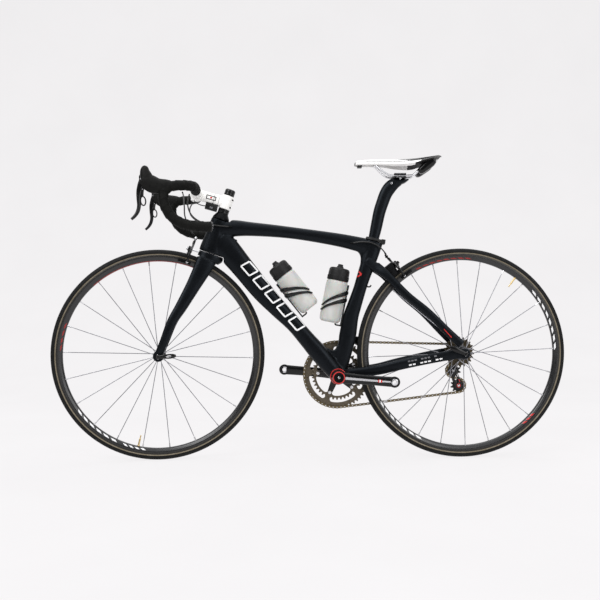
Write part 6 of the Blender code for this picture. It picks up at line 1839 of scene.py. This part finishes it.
def build_brake(where):
    matrix = BRAKES[where]
    reach = BRAKE_RADIUS[where] - PAD_RADIUS
    hand = round(matrix.col[1].y)
    bright, lever, bulk = {"front": (SILVER, BRONZE, 1.0),
                           "rear": (ANODISED_BLACK, ANODISED_BLACK, 1.3)}[where]
    for name, side, low, high in (("left", -hand, 0.004, 0.011), ("right", hand, 0.0115, 0.0185)):
        middle, depth = (low + high) / 2, (high - low) / 2
        path = ARM_PATH + ((0.027, -reach),)
        widths = [half * bulk for half in ARM_HALF_WIDTH + (0.005,)]
        shells = [arm_bar([(side * y, z) for y, z in path], widths, middle, depth),
                  turn(((low, 0.0098), (high, 0.0098)), Vector(), AWAY, 32),
                  brick(Vector((middle, side * 0.0255, -reach)), AWAY, SIDEWAYS,
                        (high - low, 0.009, 0.0096), 0.001)]
        if name == "left":
            shells.append(arm_bar([(side * 0.004, -0.001), (-side * 0.013, 0.014),
                                   (-side * 0.026, 0.03)], (0.008, 0.0062, 0.0056), middle, depth))
        arm = skinned(shells, 0.0007, 4)
        holes = [turn(((-0.05, 0.0031), (0.05, 0.0031)), Vector(), AWAY, 24)]
        if name == "right":
            holes.append(turn(((-0.05, 0.0022), (0.05, 0.0022)), Vector((0.0, side * 0.0268, -0.013)),
                              AWAY, 16))
        cut(arm, *holes)
        body = f"{where}_brake_{name}"
        piece(moved(painted(arm, GLOSS_BLACK), matrix), f"{where}_calliper_{name}", body,
              [f"{where}_brake_arm_{name}"])
        piece(moved(merged(brake_block(side, reach)), matrix), f"{where}_pad_{name}", body)

        bits = []
        bolt = Vector((middle, side * 0.03, -reach))
        washer = turned_pin(-0.002, 0.0014, 0.0015, 0.0046, 0.0004, bolt, SIDEWAYS * side, 32)
        bits.append(painted(washer, ANODISED_BLACK))
        bits.append(hex_screw(bolt, SIDEWAYS * side, 0.0034, 0.0028, SILVER))
        if name == "left":
            tip = Vector((middle, -side * 0.026, 0.03))
            barrel = rounded(((-0.011, 0.001), (-0.011, 0.003), (0.004, 0.003), (0.0042, 0.0046),
                              (0.0095, 0.0046), (0.0098, 0.0032), (0.015, 0.0028), (0.015, 0.001)),
                             0.0005)
            bits.append(painted(turn(barrel, tip, UP, 28), bright))
            ridges = [brick(tip + UP * 0.0068 + Vector((math.cos(a), math.sin(a), 0.0)) * 0.0046,
                            UP, SIDEWAYS, (0.0046, 0.0011, 0.0011))
                      for a in (2 * math.pi * k / 10 for k in range(10))]
            bits.append(painted(merged(ridges), bright))
            bits.append(painted(brick(tip + Vector((0.0042, 0.0, -0.0065)), UP, SIDEWAYS,
                                      (0.012, 0.006, 0.0022), 0.0006), lever))
        else:
            clamp = Vector((middle, side * 0.0268, -0.013))
            bits.append(hex_screw(clamp + AWAY * (depth + 0.0006), AWAY, 0.0032, 0.0016, bright))
            nut = turned_pin(high, high + 0.0018, 0.0031, 0.0058, 0.0004, Vector(), AWAY, 6, bore=0.003)
            bits.append(painted(nut, bright))
        piece(moved(merged(bits), matrix), f"{where}_fittings_{name}", body)


# ------------------------------------------------------------------ saddle
SADDLE_CLAMP = Vector((0.287, 0.0, 0.899))
RAIL_Y = 0.022
RAIL_RADIUS = 0.0035
RAIL_PATH = ((0.208, 0.933), (0.214, 0.93), (0.225, 0.919), (0.239, 0.9075), (0.254, 0.9005),
             (0.287, 0.899), (0.318, 0.8992), (0.331, 0.902), (0.346, 0.915), (0.36, 0.931))
RAIL_SPREAD = (0.012, 0.014, 0.018, 0.0215, RAIL_Y, RAIL_Y, RAIL_Y, 0.0225, 0.025, 0.029)
SADDLE_PLAN = ((0.144, 0.0085, 0.942, 0.935), (0.147, 0.014, 0.946, 0.9345),
               (0.154, 0.0185, 0.9495, 0.9342), (0.18, 0.0215, 0.9522, 0.9338),
               (0.23, 0.0255, 0.953, 0.933), (0.27, 0.035, 0.953, 0.9285),
               (0.31, 0.05, 0.9535, 0.9272), (0.335, 0.0575, 0.9548, 0.93),
               (0.35, 0.0625, 0.956, 0.935), (0.385, 0.067, 0.9598, 0.945),
               (0.406, 0.061, 0.9615, 0.9525), (0.4165, 0.04, 0.96, 0.955))
PANEL_TOP = ((0.24, -0.02), (0.256, 0.02), (0.275, 0.1), (0.3, 0.24), (0.325, 0.4), (0.34, 0.52),
             (0.352, 0.66))
PANEL_LOW = ((0.312, 1.2), (0.328, 0.97), (0.342, 0.86), (0.352, 0.66))
WHITE_START, WINGS_START, WHITE_END = 0.1462, 0.24, 0.352
COVER_DROP = 0.78                  # share of the cover's depth that its own edge falls by
COVER_LIP = 0.42                   # the same for its hollow underside
UNDER_SHARE = 1.1                  # marks the underside as below any panel


def graph(points, x):
    """Straight-line reading of a table of (x, value) rows."""
    for (xa, a), (xb, b) in zip(points, points[1:]):
        if x <= xb:
            return a + (b - a) * max(0.0, (x - xa) / (xb - xa))
    return points[-1][1]


def saddle_cover():
    """Upholstered top: white side panels that end in a point, black back, tip and lower edge."""
    rows = catmull(SADDLE_PLAN, 14)
    across, under = 56, 10
    rings, shares = [], []
    for x, half, top, low in rows:
        ring, share = [], []
        for i in range(across + 1):
            t = -1 + 2 * i / across
            t = math.copysign(1 - (1 - abs(t)) ** 1.35, t)
            drop = COVER_DROP * abs(t) ** 3.0
            ring.append(Vector((x, half * t, top - (top - low) * drop)))
            share.append(drop)
        for i in range(1, under):
            t = 1 - 2 * i / under
            lip = 1.0 if i in (1, under - 1) else COVER_LIP
            ring.append(Vector((x, half * t * 0.98, top - (top - low) * lip)))
            share.append(UNDER_SHARE)
        rings.append(ring)
        shares.append(share)
    cover = loft(rings)
    cover.data.materials.append(LEATHER_WHITE)
    cover.data.materials.append(LEATHER_BLACK)
    count = len(rings[0])
    for face in cover.data.polygons:
        if len(face.vertices) != 4:
            face.material_index = 1
            continue
        corners = [divmod(v, count) for v in face.vertices]
        x = sum(rows[i][0] for i, _ in corners) / 4
        share = sum(shares[i][j] for i, j in corners) / 4
        white = x > WHITE_START and share < graph(PANEL_LOW, x)
        if x > WINGS_START:
            white = white and x < WHITE_END and share > graph(PANEL_TOP, x)
        face.material_index = 0 if white else 1
    return cover


TAIL_BLOCK = ((0.392, 0.034, 0.9475, 0.026, 0.03), (0.382, 0.033, 0.939, 0.032, 0.03),
              (0.366, 0.031, 0.925, 0.028, 0.028), (0.352, 0.029, 0.9125, 0.022, 0.026),
              (0.346, 0.028, 0.9075, 0.012, 0.02))


def build_saddle():
    cover = saddle_cover()
    piece(cover, "saddle_cover", "frame", ["saddle_pad"], sharp=60)

    shell_rings = []
    for x, half, top, low in catmull(SADDLE_PLAN[1:-1], 8):
        roof = top - (top - low) * 0.4
        ring = [Vector((x, half * 0.86 * t, roof)) for t in (-1, -0.6, -0.2, 0.2, 0.6, 1)]
        ring += [Vector((x, half * 0.8 * t, roof - 0.0024 - 0.001 * (1 - t * t))) for t in
                 (1, 0.6, 0.2, -0.2, -0.6, -1)]
        shell_rings.append(ring)
    shell = loft(shell_rings)
    nose_block = brick(Vector((0.16, 0.0, 0.9315)), AWAY, SIDEWAYS, (0.015, 0.026, 0.007), 0.002)
    piece(painted(merged([shell, nose_block]), BLACK_PLASTIC), "saddle_base", "frame",
          ["saddle_shell"])
    block = []
    for side in (-1, 1):
        block.append(blade(handed(TAIL_BLOCK, side), 24, 5, 3.0))
    bridge = brick(Vector((0.386, 0.0, 0.936)), Vector((0.7, 0.0, 0.71)), SIDEWAYS,
                   (0.028, 0.066, 0.012), 0.003)
    tail = skinned([*block, bridge], 0.0012, 5)
    piece(painted(tail, GLOSS_BLACK), "saddle_tail_block", "frame")
    lip = brick(Vector((0.4045, 0.0, 0.9478)), AWAY, SIDEWAYS, (0.006, 0.056, 0.004), 0.0012)
    piece(painted(lip, WHITE_DECAL), "saddle_tail_tab", "frame")

    rails = []
    for side in (-1, 1):
        path = [Vector((x, side * y, z)) for (x, z), y in zip(RAIL_PATH, RAIL_SPREAD)]
        rails.append(sweep(catmull(path, 10), RAIL_RADIUS, 20))
    rails.append(sweep(catmull([(0.2082, y, 0.9329 + 0.0005 * (1 - abs(y) / 0.012))
                                for y in (-0.012, -0.006, 0.0, 0.006, 0.012)], 4), RAIL_RADIUS, 20))
    piece(painted(merged(rails), SILVER), "saddle_rail_pair", "frame", ["saddle_rails"])

    cradle = []
    for z, thick in ((-0.0052, 0.006), (0.0046, 0.0058)):
        bar = brick(SADDLE_CLAMP + UP * z, AWAY, SIDEWAYS, (0.038, 0.057, thick), 0.0016)
        grooves = [turn(((-0.04, RAIL_RADIUS + 0.0003), (0.04, RAIL_RADIUS + 0.0003)),
                        SADDLE_CLAMP + SIDEWAYS * side * RAIL_Y, AWAY, 24) for side in (-1, 1)]
        cradle.append(cut(bar, *grooves))
    waist = brick(SADDLE_CLAMP + UP * 0.007, AWAY, SIDEWAYS, (0.026, 0.03, 0.012))
    cut(cradle[1], waist)
    piece(painted(merged(cradle), ANODISED_BLACK), "rail_clamp", "frame",
          ["saddle_clamp"])
    lines = [brick(SADDLE_CLAMP + Vector((0.0, side * 0.0287, z)), AWAY, SIDEWAYS,
                   (0.03, 0.0006, 0.0016))
             for side in (-1, 1) for z in (-0.0052, 0.0052)]
    lines += [turned_pin(-0.0286, 0.0286, 0.0008, 0.003, 0.0006,
                         SADDLE_CLAMP + Vector((0.0, 0.0, -0.0098)), SIDEWAYS, 24)]
    piece(painted(merged(lines), SILVER), "rail_clamp_bolt", "frame")


# ------------------------------------------------------------------ bottles and cages
BOTTLE_RADIUS = 0.0348
BOTTLES = {"down": (Vector((0.0, 0.0, 0.48)), Vector((-0.62, 0.0, 0.7846)).normalized(),
                    "cage_down_tube"),
           "seat": (Vector((0.0595, 0.0, 0.4355)), Vector((0.205, 0.0, 0.9788)).normalized(),
                    "cage_seat_tube")}
CAP_RIBS = 40
CAGE_ARMS = ((0.101, 0.049, 150, GLOSS_BLACK), (0.078, 0.034, 152, GLOSS_BLACK),
             (0.0895, 0.042, 140, WHITE_DECAL))     # start and end height, degrees round, looks
BOTTLE_WALL = ((0.002, 0.004), (0.0022, 0.022), (0.0, 0.024), (0.0002, 0.0262), (0.003, 0.0295),
               (0.008, 0.0328), (0.02, 0.0339), (0.042, 0.0345), (0.064, 0.0347), (0.0656, 0.0342),
               (0.0672, 0.0347), (0.118, 0.0348), (0.129, 0.034), (0.1325, 0.0325), (0.1345, 0.03))
CAP_WALL = ((0.1345, 0.029), (0.1345, 0.0338), (0.15, 0.034), (0.1505, 0.0334), (0.1515, 0.0334),
            (0.152, 0.0338), (0.168, 0.033), (0.1735, 0.03), (0.1752, 0.025), (0.1748, 0.012),
            (0.18, 0.0108), (0.1805, 0.0086), (0.1862, 0.0084), (0.1876, 0.0068), (0.1876, 0.002))


def build_bottle(name):
    base, axis, _ = BOTTLES[name]
    body = f"{name}_bottle"
    wall = painted(turn(catmull(BOTTLE_WALL, 3), base, axis, 72), BOTTLE)
    piece(wall, f"{name}_bottle_wall", body, [f"{name}_bottle_body"], sharp=45)
    cap = turn(rounded(CAP_WALL, 0.0008), base, axis, 72)
    ribs = []
    v_axis = axis.cross(SIDEWAYS)
    for k in range(CAP_RIBS):
        angle = 2 * math.pi * k / CAP_RIBS
        out = SIDEWAYS * math.cos(angle) + v_axis * math.sin(angle)
        ribs.append(brick(base + axis * 0.1425 + out * 0.034, axis, out.cross(axis),
                          (0.013, 0.0022, 0.0014)))
    piece(painted(merged([cap, *ribs]), BLACK_PLASTIC), f"{name}_bottle_lid", body,
          [f"{name}_bottle_cap"], sharp=30)


def build_cage(name):
    """Back plate with two bosses, foot, and two swept arms on each side with a pale line between."""
    base, axis, node_name = BOTTLES[name]
    toward = SIDEWAYS.cross(axis)
    if toward.z > 0:
        toward = -toward
    if name == "seat":
        toward = Vector((axis.z, 0.0, -axis.x))
    radius = BOTTLE_RADIUS + 0.0014
    back = base + toward * (radius + 0.0012)
    parts = [brick(back + axis * 0.053, axis, SIDEWAYS, (0.121, 0.015, 0.0046), 0.001)]
    parts += [turned_pin(0.0, 0.0022, 0.0008, 0.0042, 0.0005, back + axis * d - toward * 0.0022, toward,
                         24) for d in (0.022, 0.086)]
    parts.append(brick(back + axis * 0.119 - toward * 0.001, axis, SIDEWAYS,
                       (0.016, 0.015, 0.0075), 0.0015))
    foot = [base - axis * 0.005 + toward * d for d in (radius + 0.0012, radius * 0.85, radius * 0.62)]
    foot.append(base + axis * -0.001 + toward * radius * 0.5)
    parts.append(sweep(catmull(foot, 6), 0.0027, 16, 2.8, SIDEWAYS))
    accents = []
    for start, end, reach, material in CAGE_ARMS:
        for side in (-1, 1):
            arc, widths = [], []
            for i in range(25):
                t = i / 24
                angle = math.radians(4 + (reach - 4) * t)
                out = toward * math.cos(angle) + SIDEWAYS * side * math.sin(angle)
                dip = start + (end - start) * t ** 1.7
                arc.append(base + axis * dip + out * (radius + 0.0022))
                widths.append(0.0034 * (1.3 - 0.85 * t))
            if material is WHITE_DECAL:
                accents.append(sweep(arc[8:22], 0.00075, 10, 1.6, axis))
            else:
                parts.append(sweep(arc, widths, 14, 1.9, axis))
    piece(painted(merged(parts), GLOSS_BLACK), f"{name}_bottle_holder", "frame",
          [node_name])
    piece(painted(merged(accents), WHITE_DECAL), f"{name}_holder_line", "frame")


# ------------------------------------------------------------------ painted marks on the carbon
STRIP_STEPS = 16
PAINT_LIFT = 0.00035
STROKE_HALF = 0.0022


def strip(start, end, half):
    """Rows for a decal along a straight line in the XZ plane, from (x, z) to (x, z)."""
    a = Vector((start[0], 0.0, start[1]))
    b = Vector((end[0], 0.0, end[1]))
    over = SIDEWAYS.cross((b - a).normalized())
    return [[a + (b - a) * i / STRIP_STEPS + over * half * (j / 3 - 1) for j in range(7)]
            for i in range(STRIP_STEPS + 1)]


def printed(target, strokes, name):
    marks = []
    for side in (-1, 1):
        for start, end, half, material in strokes:
            rows = strip(start, end, half)
            marks.append(painted(decal(target, rows, SIDEWAYS * -side, PAINT_LIFT), material))
    piece(merged(marks), name, "frame")


def down_tube_strokes():
    """A row of hollow slanted blocks along the down tube."""
    start, end = Vector((-0.208, 0.6235)), Vector((-0.0215, 0.406))
    along = (end - start).normalized()
    over = Vector((-along.y, along.x))
    strokes = []
    pitch = (end - start).length / 5
    for i in range(5):
        corners = [start + along * (i * pitch + a) + over * b for a, b in
                   ((0.006, 0.015), (0.046, 0.015), (0.04, -0.015), (0.0, -0.015))]
        for k in range(4):
            strokes.append((tuple(corners[k]), tuple(corners[(k + 1) % 4]), 0.0025, WHITE_DECAL))
    return strokes


def build_marks(front_triangle, seatstays, chainstays):
    printed(front_triangle, down_tube_strokes(), "down_tube_pattern")
    printed(front_triangle, [((0.154, 0.596), (0.1625, 0.586), STROKE_HALF, RED_PAINT),
                             ((0.1625, 0.586), (0.15, 0.579), STROKE_HALF, RED_PAINT)],
            "seat_tube_mark")
    printed(seatstays, [((0.416, 0.411), (0.439, 0.385), 0.001, RED_PAINT)], "seatstay_line")
    dashes = []
    for row, (start, end, material) in enumerate((((0.304, 0.31), (0.395, 0.3285), GREY_DECAL),
                                                  ((0.307, 0.2985), (0.413, 0.32), WHITE_DECAL))):
        a, b = Vector(start), Vector(end)
        for i in range(9):
            if (i + row) % 4 != 3:
                dashes.append((tuple(a + (b - a) * i / 9), tuple(a + (b - a) * (i + 0.72) / 9),
                               STROKE_HALF, material))
    printed(chainstays, dashes, "chainstay_pattern")
    route = ((0.17, 0.0, 0.554), (0.18, 0.0, 0.548), (0.19, 0.0, 0.547), (0.1945, 0.0, 0.552))
    hook = sweep(catmull(route, 6), 0.0024, 14)
    piece(painted(hook, BLACK_PLASTIC), "cable_hook", "frame")


# ------------------------------------------------------------------ everything in place
front_triangle = build_front_triangle()
seatstays, chainstays = build_rear_stays()
build_fork()
build_rear_brake_mount()
build_seatpost()
build_front_wheel()
build_rear_wheel()
pins, wheels = build_chain()
ring_phase = pin_phase(pins, wheels, 0, BB)
build_chainrings(ring_phase)
build_crank("left", -1)
build_crank("right", 1)
build_bottom_bracket()
build_cassette(pin_phase(pins, wheels, 1, REAR_AXLE))
build_quick_release("front", FRONT_AXLE, DROPOUT_FACE["front"], "steering", (1.0, 0.0, 0.06))
build_quick_release("rear", REAR_AXLE, DROPOUT_FACE["rear"], "frame", (-0.92, 0.0, 0.4))
build_front_derailleur()
build_rear_derailleur(pin_phase(pins, wheels, 2, JOCKEY_TOP), pin_phase(pins, wheels, 3, JOCKEY_LOW))
build_stem()
build_faceplate()
build_headset()
build_handlebar()
build_controls()
build_cables()
build_brake("front")
build_brake("rear")
build_saddle()
build_bottle("down")
build_bottle("seat")
build_cage("down")
build_cage("seat")
build_marks(front_triangle, seatstays, chainstays)
